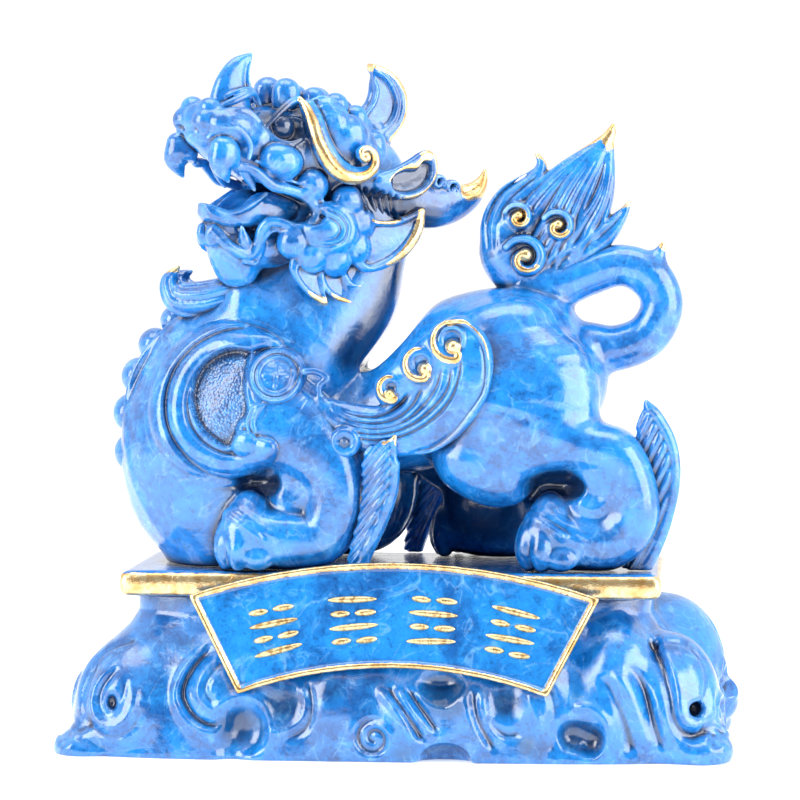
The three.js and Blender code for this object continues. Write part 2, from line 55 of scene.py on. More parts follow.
MM = 0.001
FAR = 50.0
BODY = "root"
SOLES = 72.3
SLAB_TOP = 72.0
COARSE = 1.0
NEAR = -1
OFF = 1


# Curves


def spline(points: Points, per_span: int, even: bool = False) -> np.ndarray:
    """Smooth line through points.

    Args:
        points: rows of numbers, one row for each point.
        per_span: how many steps there are between two points.
        even: spaces the knots evenly instead of by distance.

    Returns:
        One row for each step, with both ends.
    """
    knots = np.array(points, float)
    padded = np.vstack([2 * knots[0] - knots[1], knots, 2 * knots[-1] - knots[-2]])
    rows = []
    for i in range(len(knots) - 1):
        p0, p1, p2, p3 = padded[i : i + 4]
        gaps = [
            1.0 if even else math.sqrt(np.linalg.norm(b - a)) or 1.0
            for a, b in ((p0, p1), (p1, p2), (p2, p3))
        ]
        d0, d1, d2 = gaps
        m1 = ((p1 - p0) / d0 - (p2 - p0) / (d0 + d1) + (p2 - p1) / d1) * d1
        m2 = ((p2 - p1) / d1 - (p3 - p1) / (d1 + d2) + (p3 - p2) / d2) * d1
        for u in np.arange(per_span) / per_span:
            rows.append(
                p1 * (2 * u**3 - 3 * u**2 + 1) + m1 * (u**3 - 2 * u**2 + u) + p2 * (3 * u**2 - 2 * u**3) + m2
                * (u**3 - u**2)
            )
    rows.append(knots[-1])
    return np.array(rows)


def spiral(
    centre: Sequence[float], start: float, turns: float, outer: float, inner: float, count: int = 14,
) -> list:
    """Points of a flat spiral that winds inwards."""
    points = []
    for t in np.linspace(0, 1, count):
        angle = math.radians(start) + 2 * math.pi * turns * t
        radius = outer + (inner - outer) * t
        points.append((centre[0] + radius * math.cos(angle), centre[1] + radius * math.sin(angle)))
    return points


# Forms


@dataclass
class Sweep:
    """An oval carried along a smooth line.

    Each station is x, y, z, then the oval's half-size in the plane of the line and across it.
    """

    stations: Points
    caps: float = 1.0
    power: float = 2.0
    strands: float = 0.0
    depth: float = 0.0
    phase: float = 0.0
    side: Sequence[float] = (0.0, 1.0, 0.0)

    def __post_init__(self) -> None:
        """Samples the line, the oval and its two directions."""
        rows = np.array(self.stations, float)
        length = np.linalg.norm(np.diff(rows[:, :3], axis=0), axis=1).mean()
        size = rows[:, 3:5].mean()
        steps = int(min(12, max(4, length / (0.14 * size + 0.5))))
        self.centres = spline(rows[:, :3], steps)
        sizes = np.maximum(spline(rows[:, 3:5], steps, even=True), 0.25)
        self.tall, self.deep = sizes[:, 0], sizes[:, 1]
        tangents = np.gradient(self.centres, axis=0)
        tangents /= np.linalg.norm(tangents, axis=1, keepdims=True)
        side = np.array(self.side, float)
        across = side - tangents * (tangents @ side)[:, None]
        self.across = across / np.linalg.norm(across, axis=1, keepdims=True)
        self.upward = np.cross(self.across, tangents)
        steps_along = np.linalg.norm(np.diff(self.centres, axis=0), axis=1)
        self.along = np.concatenate([[0], np.cumsum(steps_along)])

    def bounds(self) -> Bounds:
        """Lowest and highest corner."""
        reach = np.maximum(self.tall, self.deep)[:, None]
        return (self.centres - reach).min(axis=0), (self.centres + reach).max(axis=0)

    def distance(self, axes: Axes, margin: float) -> np.ndarray:
        """Signed distance on a grid.

        Args:
            axes: the grid's x, y and z values.
            margin: how far from the form distances are still needed.

        Returns:
            Millimetres, negative inside.
        """
        out = np.full([len(a) for a in axes], FAR, np.float32)
        last = len(self.centres) - 2
        for i in range(last + 1):
            ends = self.centres[i : i + 2]
            reach = max(self.tall[i : i + 2].max(), self.deep[i : i + 2].max()) + margin
            spans = []
            for k in range(3):
                low = np.searchsorted(axes[k], ends[:, k].min() - reach)
                high = np.searchsorted(axes[k], ends[:, k].max() + reach)
                spans.append(slice(low, high))
            if any(s.stop <= s.start for s in spans):
                continue
            offsets = [
                (axes[k][spans[k]] - np.float32(ends[0, k])).reshape([-1 if k == j else 1 for j in range(3)])
                for k in range(3)
            ]

            def dot(vector: np.ndarray) -> np.ndarray:
                """Product of a vector with every offset."""
                v = vector.astype(np.float32)
                return offsets[0] * v[0] + offsets[1] * v[1] + offsets[2] * v[2]

            step = ends[1] - ends[0]
            length = np.linalg.norm(step)
            tangent = step / length
            s = dot(tangent)
            t = np.clip(s / np.float32(length), 0, 1)
            held = t * np.float32(length)
            over = s - held
            parts = []
            for directions in (self.upward, self.across):
                first, second = directions[i], directions[i + 1]
                a0 = dot(first) - held * np.float32(first @ tangent)
                a1 = dot(second) - held * np.float32(second @ tangent)
                parts.append(a0 + t * (a1 - a0))
            u, v = parts
            tall = self.tall[i] + t * np.float32(self.tall[i + 1] - self.tall[i])
            deep = self.deep[i] + t * np.float32(self.deep[i + 1] - self.deep[i])
            square = u * u + v * v
            reachable = np.ones(square.shape, bool)
            extra = np.zeros_like(square)
            cap = np.float32(1)
            for at, beyond in ((i, over < 0), (i + 1, over > 0)):
                is_end = at in (0, last + 1)
                if is_end:
                    size = self.caps * min(self.tall[at], self.deep[at])
                    extra = np.where(beyond, np.abs(over) / np.float32(size), extra)
                    cap = np.float32(size)
                else:
                    one = self.centres[at] - self.centres[at - 1]
                    two = self.centres[at + 1] - self.centres[at]
                    bend = np.linalg.norm(np.cross(one, two)) / (np.linalg.norm(one) * np.linalg.norm(two))
                    limit = np.sqrt(square) * np.float32(min(bend * 1.1, 0.9)) + np.float32(0.2)
                    reachable &= ~(beyond & (np.abs(over) > limit))
            p = np.float32(self.power)
            qu, qv = np.abs(u) / tall, np.abs(v) / deep
            if self.power == 2.0:
                k0 = np.sqrt(qu * qu + qv * qv + extra * extra) + np.float32(1e-5)
                slope = np.sqrt((qu / tall) ** 2 + (qv / deep) ** 2 + (extra / cap) ** 2) / k0
            else:
                k0 = (qu**p + qv**p + extra**p) ** (1 / p) + np.float32(1e-5)
                gu = (qu / k0) ** (p - 1) / tall
                gv = (qv / k0) ** (p - 1) / deep
                ge = (extra / k0) ** (p - 1) / cap
                slope = np.sqrt(gu * gu + gv * gv + ge * ge)
            slope = np.maximum(slope, 1 / np.maximum(tall, deep))
            d = (k0 - 1) / slope
            if self.strands:
                wave = np.abs(
                    np.sin(np.float32(math.pi * self.strands / 2) * (u / tall) + np.float32(self.phase))
                )
                d = d + np.float32(self.depth) * (1 - wave) * np.minimum(tall / 4, 1)
            d = np.where(reachable, d, FAR)
            here = out[tuple(spans)]
            np.minimum(here, d, out=here)
        return out


@dataclass
class Egg:
    """A ball with its own half-size along each axis."""

    centre: Sequence[float]
    radii: Sequence[float]

    def bounds(self) -> Bounds:
        """Lowest and highest corner."""
        centre, radii = np.array(self.centre, float), np.array(self.radii, float)
        return centre - radii, centre + radii

    def distance(self, axes: Axes, margin: float) -> np.ndarray:
        """Signed distance on a grid, in millimetres, negative inside."""
        q, g = 0, 0
        for k in range(3):
            part = ((axes[k] - self.centre[k]) / self.radii[k]).astype(np.float32)
            part = part.reshape([-1 if k == j else 1 for j in range(3)])
            q = q + part**2
            g = g + (part / np.float32(self.radii[k])) ** 2
        k0 = np.sqrt(q)
        return ((k0 - 1) * k0 / np.maximum(np.sqrt(g), 1e-4)).astype(np.float32)


@dataclass
class Block:
    """A box with rounded edges."""

    low: Sequence[float]
    high: Sequence[float]
    rounding: float = 0.5

    def bounds(self) -> Bounds:
        """Lowest and highest corner."""
        return np.array(self.low, float), np.array(self.high, float)

    def distance(self, axes: Axes, margin: float) -> np.ndarray:
        """Signed distance on a grid, in millimetres, negative inside."""
        out, most = 0, -FAR
        for k in range(3):
            middle, half = (self.low[k] + self.high[k]) / 2, (self.high[k] - self.low[k]) / 2
            part = (np.abs(axes[k] - middle) - half + self.rounding).astype(np.float32)
            part = part.reshape([-1 if k == j else 1 for j in range(3)])
            out = out + np.maximum(part, 0) ** 2
            most = np.maximum(most, part)
        return (np.sqrt(out) + np.minimum(most, 0) - self.rounding).astype(np.float32)


def flat_distance(outline: Points, u: np.ndarray, v: np.ndarray) -> np.ndarray:
    """Signed distance to a closed line in a plane."""
    best = np.full(u.shape, 1e6, np.float32)
    odd = np.zeros(u.shape, bool)
    for a, b in zip(outline, [*outline[1:], outline[0]]):
        du, dv = b[0] - a[0], b[1] - a[1]
        t = np.clip(((u - a[0]) * du + (v - a[1]) * dv) / max(du * du + dv * dv, 1e-9), 0, 1)
        best = np.minimum(best, (u - a[0] - t * du) ** 2 + (v - a[1] - t * dv) ** 2)
        if abs(dv) > 1e-9:
            odd ^= ((a[1] > v) != (b[1] > v)) & (u < du * (v - a[1]) / dv + a[0])
    return np.where(odd, -1, 1) * np.sqrt(best)


@dataclass
class Leaf:
    """A plate whose outline is seen along the second direction, with a cupped face.

    Its middle is the side offset at the outline's own middle, then how that grows along x and z.
    """

    outline: Points
    middle: Sequence[float]
    half: float
    cup: Points = ()
    deep: float = 0.0
    side: int = 1

    def __post_init__(self) -> None:
        """Rounds both outlines."""
        self.edge = spline([*self.outline, self.outline[0]], 4)[:-1]
        self.hollow = spline([*self.cup, self.cup[0]], 4)[:-1] if self.cup else None
        self.pivot = self.edge.mean(axis=0)

    def bounds(self) -> Bounds:
        """Lowest and highest corner."""
        low, high = self.edge.min(axis=0), self.edge.max(axis=0)
        lean = abs(self.middle[1]) * (high[0] - low[0]) + abs(self.middle[2]) * (high[1] - low[1])
        y = [self.side * self.middle[0] + k * (self.half + lean) for k in (-1, 1)]
        return np.array([low[0], y[0], low[1]]), np.array([high[0], y[1], high[1]])

    def distance(self, axes: Axes, margin: float) -> np.ndarray:
        """Signed distance on a grid, in millimetres, negative inside."""
        u, v = np.meshgrid(axes[0], axes[2], indexing="ij")
        edge = flat_distance(self.edge, u, v)
        place = self.middle[0] + self.middle[1] * (u - self.pivot[0]) + self.middle[2] * (v - self.pivot[1])
        thick = self.half * (0.45 + 0.55 * np.sqrt(np.clip(-edge / (2.5 * self.half), 0, 1)))
        front = thick
        if self.hollow is not None:
            within = np.clip(-flat_distance(self.hollow, u, v) / 1.1 + 0.4, 0, 1)
            front = thick - self.deep * within * within * (3 - 2 * within)
        out = axes[1][None, :, None] * self.side - place[:, None, :]
        slab = np.maximum(out - front[:, None, :], -out - thick[:, None, :]) + 0.4
        rim = edge[:, None, :] + 0.4
        outside = np.sqrt(np.maximum(slab, 0) ** 2 + np.maximum(rim, 0) ** 2)
        return (outside + np.minimum(np.maximum(slab, rim), 0) - 0.4).astype(np.float32)


def blend_union(a: np.ndarray, b: np.ndarray, blend: float) -> np.ndarray:
    """Joins two distances, rounding the crease between them."""
    low = np.minimum(a, b)
    if blend <= 0:
        return low
    h = np.maximum(np.float32(blend) - np.abs(a - b), 0)
    return low - h * h * np.float32(0.25 / blend)


class Field:
    """Signed distance on a regular grid, in millimetres, negative inside."""

    def __init__(self, low: Sequence[float], high: Sequence[float], step: float) -> None:
        """Lays out the grid."""
        self.step = step * COARSE
        self.low = np.array(low, float)
        counts = np.ceil((np.array(high) - self.low) / self.step).astype(int) + 1
        self.axes = [(self.low[k] + self.step * np.arange(counts[k])).astype(np.float32) for k in range(3)]
        self.values = np.full(counts, FAR, np.float32)

    def window(self, low: np.ndarray, high: np.ndarray) -> tuple[tuple[slice, ...], Axes]:
        """Part of the grid."""
        spans = tuple(
            slice(int(np.searchsorted(a, low[k])), int(np.searchsorted(a, high[k])))
            for k, a in enumerate(self.axes)
        )
        return spans, [a[s] for a, s in zip(self.axes, spans)]

    def measure(self, form: object, blend: float) -> tuple[tuple[slice, ...], np.ndarray]:
        """Distances to a form in the window that it needs."""
        low, high = form.bounds()
        margin = 1.5 * blend + 3 * self.step
        spans, axes = self.window(low - margin, high + margin)
        if any(len(a) == 0 for a in axes):
            return spans, np.zeros([len(a) for a in axes], np.float32)
        return spans, form.distance(axes, margin)

    def add(self, form: object, blend: float = 0.0) -> None:
        """Joins a form, with a rounded crease as wide as blend."""
        spans, d = self.measure(form, blend)
        self.values[spans] = blend_union(self.values[spans], d, blend)

    def cut(self, form: object, blend: float = 0.0) -> None:
        """Takes a form away, with a rounded edge as wide as blend."""
        spans, d = self.measure(form, blend)
        self.values[spans] = -blend_union(-self.values[spans], d, blend)

    def emboss(self, relief: "Relief", near: Optional[float] = None, off: Optional[float] = None) -> None:
        """Raises the surface by a relief that is seen along the relief's third direction."""
        third = 3 - relief.u - relief.v
        spans = [slice(None)] * 3
        along = self.axes[third]
        if near is not None:
            spans[third] = slice(0, int(np.searchsorted(along, near)))
        if off is not None:
            spans[third] = slice(int(np.searchsorted(along, off)), len(along))
        heights = relief.heights if relief.u < relief.v else relief.heights.T
        self.values[tuple(spans)] -= np.expand_dims(heights, third)

    def probe(self, points: np.ndarray, values: Optional[np.ndarray] = None) -> np.ndarray:
        """Values between the grid's points.

        Args:
            points: rows of x, y and z.
            values: another array on the same grid, or none for the distances.

        Returns:
            One value for each point.
        """
        source = self.values if values is None else values
        at = (points - self.low) / self.step
        top = np.array(source.shape) - 1.001
        at = np.clip(at, 0, top)
        cell = at.astype(int)
        f = (at - cell).astype(np.float32)
        out = np.zeros(len(points), np.float32)
        for corner in range(8):
            shift = [(corner >> k) & 1 for k in range(3)]
            weight = np.ones(len(points), np.float32)
            for k in range(3):
                weight *= f[:, k] if shift[k] else 1 - f[:, k]
            out += weight * source[cell[:, 0] + shift[0], cell[:, 1] + shift[1], cell[:, 2] + shift[2]]
        return out

    def slope(self, points: np.ndarray) -> np.ndarray:
        """Direction in which the distance grows."""
        rows = []
        for k in range(3):
            reach = np.zeros(3)
            reach[k] = self.step * 0.6
            rows.append(self.probe(points + reach) - self.probe(points - reach))
        return np.stack(rows, axis=1) / (1.2 * self.step)

    def resampled(self, low: Sequence[float], high: Sequence[float], step: float) -> "Field":
        """The same solid on a finer grid over a smaller box."""
        fine = Field(low, high, step)
        values = self.values
        for k in range(3):
            at = np.clip((fine.axes[k] - self.low[k]) / self.step, 0, values.shape[k] - 1.001)
            base = at.astype(int)
            part = (at - base).astype(np.float32).reshape([-1 if j == k else 1 for j in range(3)])
            values = np.take(values, base, axis=k) * (1 - part) + np.take(values, base + 1, axis=k) * part
        fine.values = values.astype(np.float32)
        return fine

    def surface(self, x: float, z: float, side: int) -> float:
        """Where the solid's side lies, seen along y."""
        line = np.column_stack([np.full(len(self.axes[1]), x), self.axes[1], np.full(len(self.axes[1]), z)])
        inside = np.flatnonzero(self.probe(line) < 0)
        if len(inside) == 0:
            return 0.0
        return float(self.axes[1][inside[0] if side < 0 else inside[-1]])

    def soften(self, reach: int) -> None:
        """Rounds off small creases."""
        self.values = box_blur(box_blur(self.values, reach), max(1, reach - 1))

    def fill(self) -> np.ndarray:
        """How full each cell is, from 0 to 1."""
        return np.clip(0.5 - self.values / (1.2 * self.step), 0, 1)


def box_blur(grid: np.ndarray, reach: int) -> np.ndarray:
    """Mean over a box."""
    for axis in range(3):
        pad = [(0, 0)] * 3
        pad[axis] = (reach + 1, reach)
        total = np.cumsum(np.pad(grid, pad, mode="edge"), axis=axis, dtype=np.float32)
        width = 2 * reach + 1
        count = grid.shape[axis]
        upper = np.take(total, np.arange(width, width + count), axis=axis)
        lower = np.take(total, np.arange(0, count), axis=axis)
        grid = (upper - lower) / width
    return grid


# Reliefs


class Relief:
    """Heights over a plane, in millimetres, made from strokes, domes and grounds."""

    def __init__(self, field_: Field, u: int = 0, v: int = 2) -> None:
        """Lays the relief over a field."""
        self.u, self.v = u, v
        self.U, self.V = np.meshgrid(field_.axes[u], field_.axes[v], indexing="ij")
        self.heights = np.zeros(self.U.shape, np.float32)

    def reach(self, points: Points, smooth: bool = True) -> tuple[np.ndarray, np.ndarray, np.ndarray]:
        """Distance to a line.

        Args:
            points: the line's points, in the relief's plane.
            smooth: rounds the line through its points.

        Returns:
            The distance, the share of the line's length at the nearest point, and the side of the line.
        """
        line = spline(points, 6) if smooth and len(points) > 2 else np.array(points, float)
        best = np.full(self.U.shape, 1e6, np.float32)
        share = np.zeros_like(best)
        hand = np.zeros_like(best)
        lengths = np.linalg.norm(np.diff(line, axis=0), axis=1)
        total = max(lengths.sum(), 1e-6)
        run = 0.0
        for a, b, length in zip(line[:-1], line[1:], lengths):
            if length < 1e-6:
                continue
            du, dv = self.U - a[0], self.V - a[1]
            t = np.clip((du * (b[0] - a[0]) + dv * (b[1] - a[1])) / length**2, 0, 1)
            eu, ev = du - t * (b[0] - a[0]), dv - t * (b[1] - a[1])
            square = eu * eu + ev * ev
            closer = square < best
            best = np.where(closer, square, best)
            share = np.where(closer, (run + t * length) / total, share)
            hand = np.where(closer, np.sign((b[0] - a[0]) * dv - (b[1] - a[1]) * du), hand)
            run += length
        return np.sqrt(best), share, hand

    def taper(self, share: np.ndarray, first: float, last: float) -> np.ndarray:
        """Fades a line towards its ends."""
        factor = np.ones_like(share)
        if first > 0:
            factor = np.minimum(factor, share / first)
        if last > 0:
            factor = np.minimum(factor, (1 - share) / last)
        return np.clip(factor, 0, 1) ** 0.7

    def groove(
        self, points: Points, width: float, depth: float, ends: tuple[float, float] = (0.1, 0.1),
    ) -> None:
        """Cuts a soft line, or raises one where depth is negative."""
        r, share, _ = self.reach(points)
        self.heights -= depth * np.exp(-((r / width) ** 2)) * self.taper(share, *ends)

    def pillow(
        self, points: Points, width: float, height: float, ends: tuple[float, float] = (0.0, 0.0),
    ) -> None:
        """Raises a rounded band."""
        r, share, _ = self.reach(points)
        part = np.clip(r / (width * np.maximum(self.taper(share, *ends), 0.05)), 0, 1)
        rise = height * np.sqrt(1 - part**2) * np.maximum(self.taper(share, *ends), 0.05) ** 0.5
        self.heights = np.maximum(self.heights, rise * (part < 1))

    def step(self, points: Points, height: float, soft: float, reach: float) -> None:
        """Raises the left side of a line in a soft step that fades away from it."""
        r, share, hand = self.reach(points)
        signed = r * hand
        rise = height * np.clip(signed / soft, 0, 1) * np.clip(1 - signed / reach, 0, 1)
        self.heights += rise * self.taper(share, 0.1, 0.1)

    def dome(self, centre: Sequence[float], radius: float, height: float) -> None:
        """Raises a round cushion."""
        r = np.hypot(self.U - centre[0], self.V - centre[1])
        rise = height * np.sqrt(np.clip(1 - (r / radius) ** 2, 0, 1))
        self.heights = np.maximum(self.heights, rise)

    def ring(self, centre: Sequence[float], radius: float, width: float, height: float) -> None:
        """Raises a thin ring, or cuts one where height is negative."""
        r = np.hypot(self.U - centre[0], self.V - centre[1])
        self.heights += height * np.exp(-(((r - radius) / width) ** 2))

    def inside(self, outline: Points, soft: float) -> np.ndarray:
        """How far within an outline."""
        ring = spline([*outline, outline[0]], 6)[:-1]
        return np.clip(0.5 - flat_distance(ring, self.U, self.V) / soft, 0, 1)

    def ground(self, outline: Points, height: float, soft: float) -> None:
        """Raises or lowers all that lies within an outline."""
        self.heights += height * self.inside(outline, soft)


# Meshes


@dataclass
class Shell:
    """A closed mesh in millimetres, with what its finish needs at each vertex."""

    name: str
    points: np.ndarray
    quads: np.ndarray
    cavity: np.ndarray
    gilt: np.ndarray
    hollow: Optional[np.ndarray] = None
    # Painted shade, from the carving's shade lines.
    painted_shade: Optional[np.ndarray] = None
    grain: Optional[np.ndarray] = None


def surface_net(solid: Field) -> tuple[np.ndarray, np.ndarray]:
    """Closed surface of a field.

    Args:
        solid: the field.

    Returns:
        Points, and four indices for each face.
    """
    v = solid.values
    v[0], v[-1], v[:, 0], v[:, -1], v[:, :, 0], v[:, :, -1] = [FAR] * 6
    inside = v < 0
    n = np.array(v.shape) - 1
    total = np.zeros(n, np.int8)
    for corner in range(8):
        i, j, k = [(corner >> a) & 1 for a in range(3)]
        total += inside[i : i + n[0], j : j + n[1], k : k + n[2]]
    cells = np.argwhere((total > 0) & (total < 8))
    ids = np.full(n, -1, np.int32)
    ids[tuple(cells.T)] = np.arange(len(cells))
    corners = np.stack(
        [
            v[cells[:, 0] + (c & 1), cells[:, 1] + ((c >> 1) & 1), cells[:, 2] + ((c >> 2) & 1)]
            for c in range(8)
        ],
        axis=1,
    )
    place = np.zeros((len(cells), 3), np.float32)
    count = np.zeros(len(cells), np.float32)
    for a in range(8):
        for k in range(3):
            b = a | (1 << k)
            if b == a:
                continue
            va, vb = corners[:, a], corners[:, b]
            crossing = (va < 0) != (vb < 0)
            t = np.where(crossing, va / np.where(crossing, va - vb, 1), 0)
            start = np.array([(a >> m) & 1 for m in range(3)], np.float32)
            move = np.zeros((len(cells), 3), np.float32)
            move[:, k] = t
            place += (start + move) * crossing[:, None]
            count += crossing
    points = (cells + place / count[:, None]) * solid.step + solid.low
    faces = []
    for k in range(3):
        lower = [slice(None)] * 3
        upper = [slice(None)] * 3
        lower[k], upper[k] = slice(0, -1), slice(1, None)
        a, b = inside[tuple(lower)], inside[tuple(upper)]
        edges = np.argwhere(a != b)
        one, two = (k + 1) % 3, (k + 2) % 3
        corner = []
        for s, t in ((0, 0), (1, 0), (1, 1), (0, 1)):
            cell = edges.copy()
            cell[:, one] -= s
            cell[:, two] -= t
            corner.append(ids[tuple(cell.T)])
        quad = np.stack(corner, axis=1)
        out = a[tuple(edges.T)]
        quad[~out] = quad[~out][:, ::-1]
        faces.append(quad)
    return points.astype(np.float64), np.vstack(faces)


def snapped(solid: Field, points: np.ndarray, rounds: int = 2) -> np.ndarray:
    """Moves points onto the surface of a field."""
    for _ in range(rounds):
        d = solid.probe(points)
        slope = solid.slope(points)
        square = np.maximum((slope**2).sum(axis=1), 0.2)
        move = -(d / square)[:, None] * slope
        limit = 0.45 * solid.step
        points = points + np.clip(move, -limit, limit)
    return points


@dataclass
class Gilding:
    """A line along which the lacquer is gilt, out to a radius at each end; the same lines also mark where
    shade is painted.
    """

    line: Points
    first: float = 2.0
    last: float = 2.0

    def mask(self, points: np.ndarray) -> np.ndarray:
        """How strongly each point is marked: how gilt, or how deep in painted shade for shade lines.

        Args:
            points: rows of x, y and z.

        Returns:
            Values from 0, bare, to 1, fully gilt or fully shaded.
        """
        line = spline(self.line, 5) if len(self.line) > 2 else np.array(self.line, float)
        reach = max(self.first, self.last) * 1.5
        low, high = line.min(axis=0) - reach, line.max(axis=0) + reach
        mask = np.zeros(len(points))
        close = np.flatnonzero(((points > low) & (points < high)).all(axis=1))
        if len(close) == 0:
            return mask
        p = points[close]
        best = np.zeros(len(close))
        count = len(line) - 1
        for i in range(count):
            step = line[i + 1] - line[i]
            t = np.clip(((p - line[i]) @ step) / max(step @ step, 1e-9), 0, 1)
            r = np.linalg.norm(p - line[i] - t[:, None] * step, axis=1)
            radius = self.first + (self.last - self.first) * (i + t) / count
            best = np.maximum(best, 1.5 - r / radius)
        mask[close] = np.clip(best, 0, 1)
        return mask


def carved(name: str, solid: Field, gilding: Sequence[Gilding] = (), cavity_reach: float = 1.3) -> Shell:
    """Closed mesh of a field, with how hollow and how gilt it is at each vertex."""
    solid.values = box_blur(solid.values, 1)
    points, quads = surface_net(solid)
    points = snapped(solid, points)
    reach = max(1, round(cavity_reach / solid.step))
    fullness = box_blur(solid.fill(), reach)
    cavity = solid.probe(points, fullness) * 2 - 1
    gilt = np.zeros(len(points))
    for line in gilding:
        gilt = np.maximum(gilt, line.mask(points))
    log.info("%s: %d faces", name, len(quads))
    return Shell(name, points, quads, cavity, gilt)


# Carvings


@dataclass
class Carving:
    """A field on its way to becoming a piece."""

    name: str
    solid: Field
    gilding: Sequence[Gilding] = ()
    placing: Optional[np.ndarray] = None
    keep: float = 0.5
    # Lines along which shade is painted, and how dark it gets.
    painted_shade_lines: Sequence[Gilding] = ()
    painted_shade_depth: float = 0.62
    grain: Points = ()
    slot: str = "lacquer"
    stands_for: str = "pixiu"

    def fullness(self, points: np.ndarray) -> np.ndarray:
        """How full space is at each point."""
        local = points if self.placing is None else (points - self.placing[:3, 3]) @ self.placing[:3, :3]
        high = np.array([a[-1] for a in self.solid.axes])
        held = np.flatnonzero(((local > self.solid.low) & (local < high)).all(axis=1))
        full = np.zeros(len(points), np.float32)
        if len(held):
            full[held] = np.clip(0.5 - self.solid.probe(local[held]) / 1.6, 0, 1)
        return full

    def shell(self) -> Shell:
        """The finished mesh, in the figure's frame."""
        shell = carved(self.name, self.solid, self.gilding)
        shell.painted_shade = np.zeros(len(shell.points))
        if len(self.grain):
            ring = spline([*self.grain, self.grain[0]], 6)[:-1]
            shell.grain = np.clip(
                0.5 - flat_distance(ring, shell.points[:, 0], shell.points[:, 2]) / 1.2, 0, 1,
            )
        for line in self.painted_shade_lines:
            shell.painted_shade = np.maximum(shell.painted_shade, line.mask(shell.points) * self.painted_shade_depth)
        if self.placing is not None:
            shell.points = shell.points @ self.placing[:3, :3].T + self.placing[:3, 3]
        return shell


class Surroundings:
    """How enclosed each point of the whole model is, on a coarse grid, for the painted shade in recesses."""

    def __init__(self, carvings: Sequence[Carving]) -> None:
        """Fills the grid with every carving.

        Args:
            carvings: what the model is made of.
        """
        self.grid = Field((-146, -72, -SOLES - 4), (146, 72, 208), 1.8 / COARSE)
        x, y, z = self.grid.axes
        full = np.zeros(self.grid.values.shape, np.float32)
        for carving in carvings:
            corners = [[a[0], a[-1]] for a in carving.solid.axes]
            box = np.array([[corners[k][(c >> k) & 1] for k in range(3)] for c in range(8)])
            if carving.placing is not None:
                box = box @ carving.placing[:3, :3].T + carving.placing[:3, 3]
            spans, axes = self.grid.window(box.min(axis=0), box.max(axis=0))
            mesh = np.meshgrid(*axes, indexing="ij")
            points = np.column_stack([m.ravel() for m in mesh])
            part = carving.fullness(points).reshape(mesh[0].shape)
            full[spans] = np.maximum(full[spans], part)
        self.full = box_blur(box_blur(full, 2), 1)

    def hollow(self, points: np.ndarray) -> np.ndarray:
        """How enclosed points on a surface are: 1 deep in a recess, 0 on a flat face, -1 on a tip."""
        return np.clip((self.grid.probe(points, self.full) - 0.5) * 2.4, -1, 1)


# The figure


def sided(stations: Points, side: int) -> list:
    """Stations with their side offsets turned to one side."""
    return [(row[0], row[1] * side, *row[2:]) for row in stations]


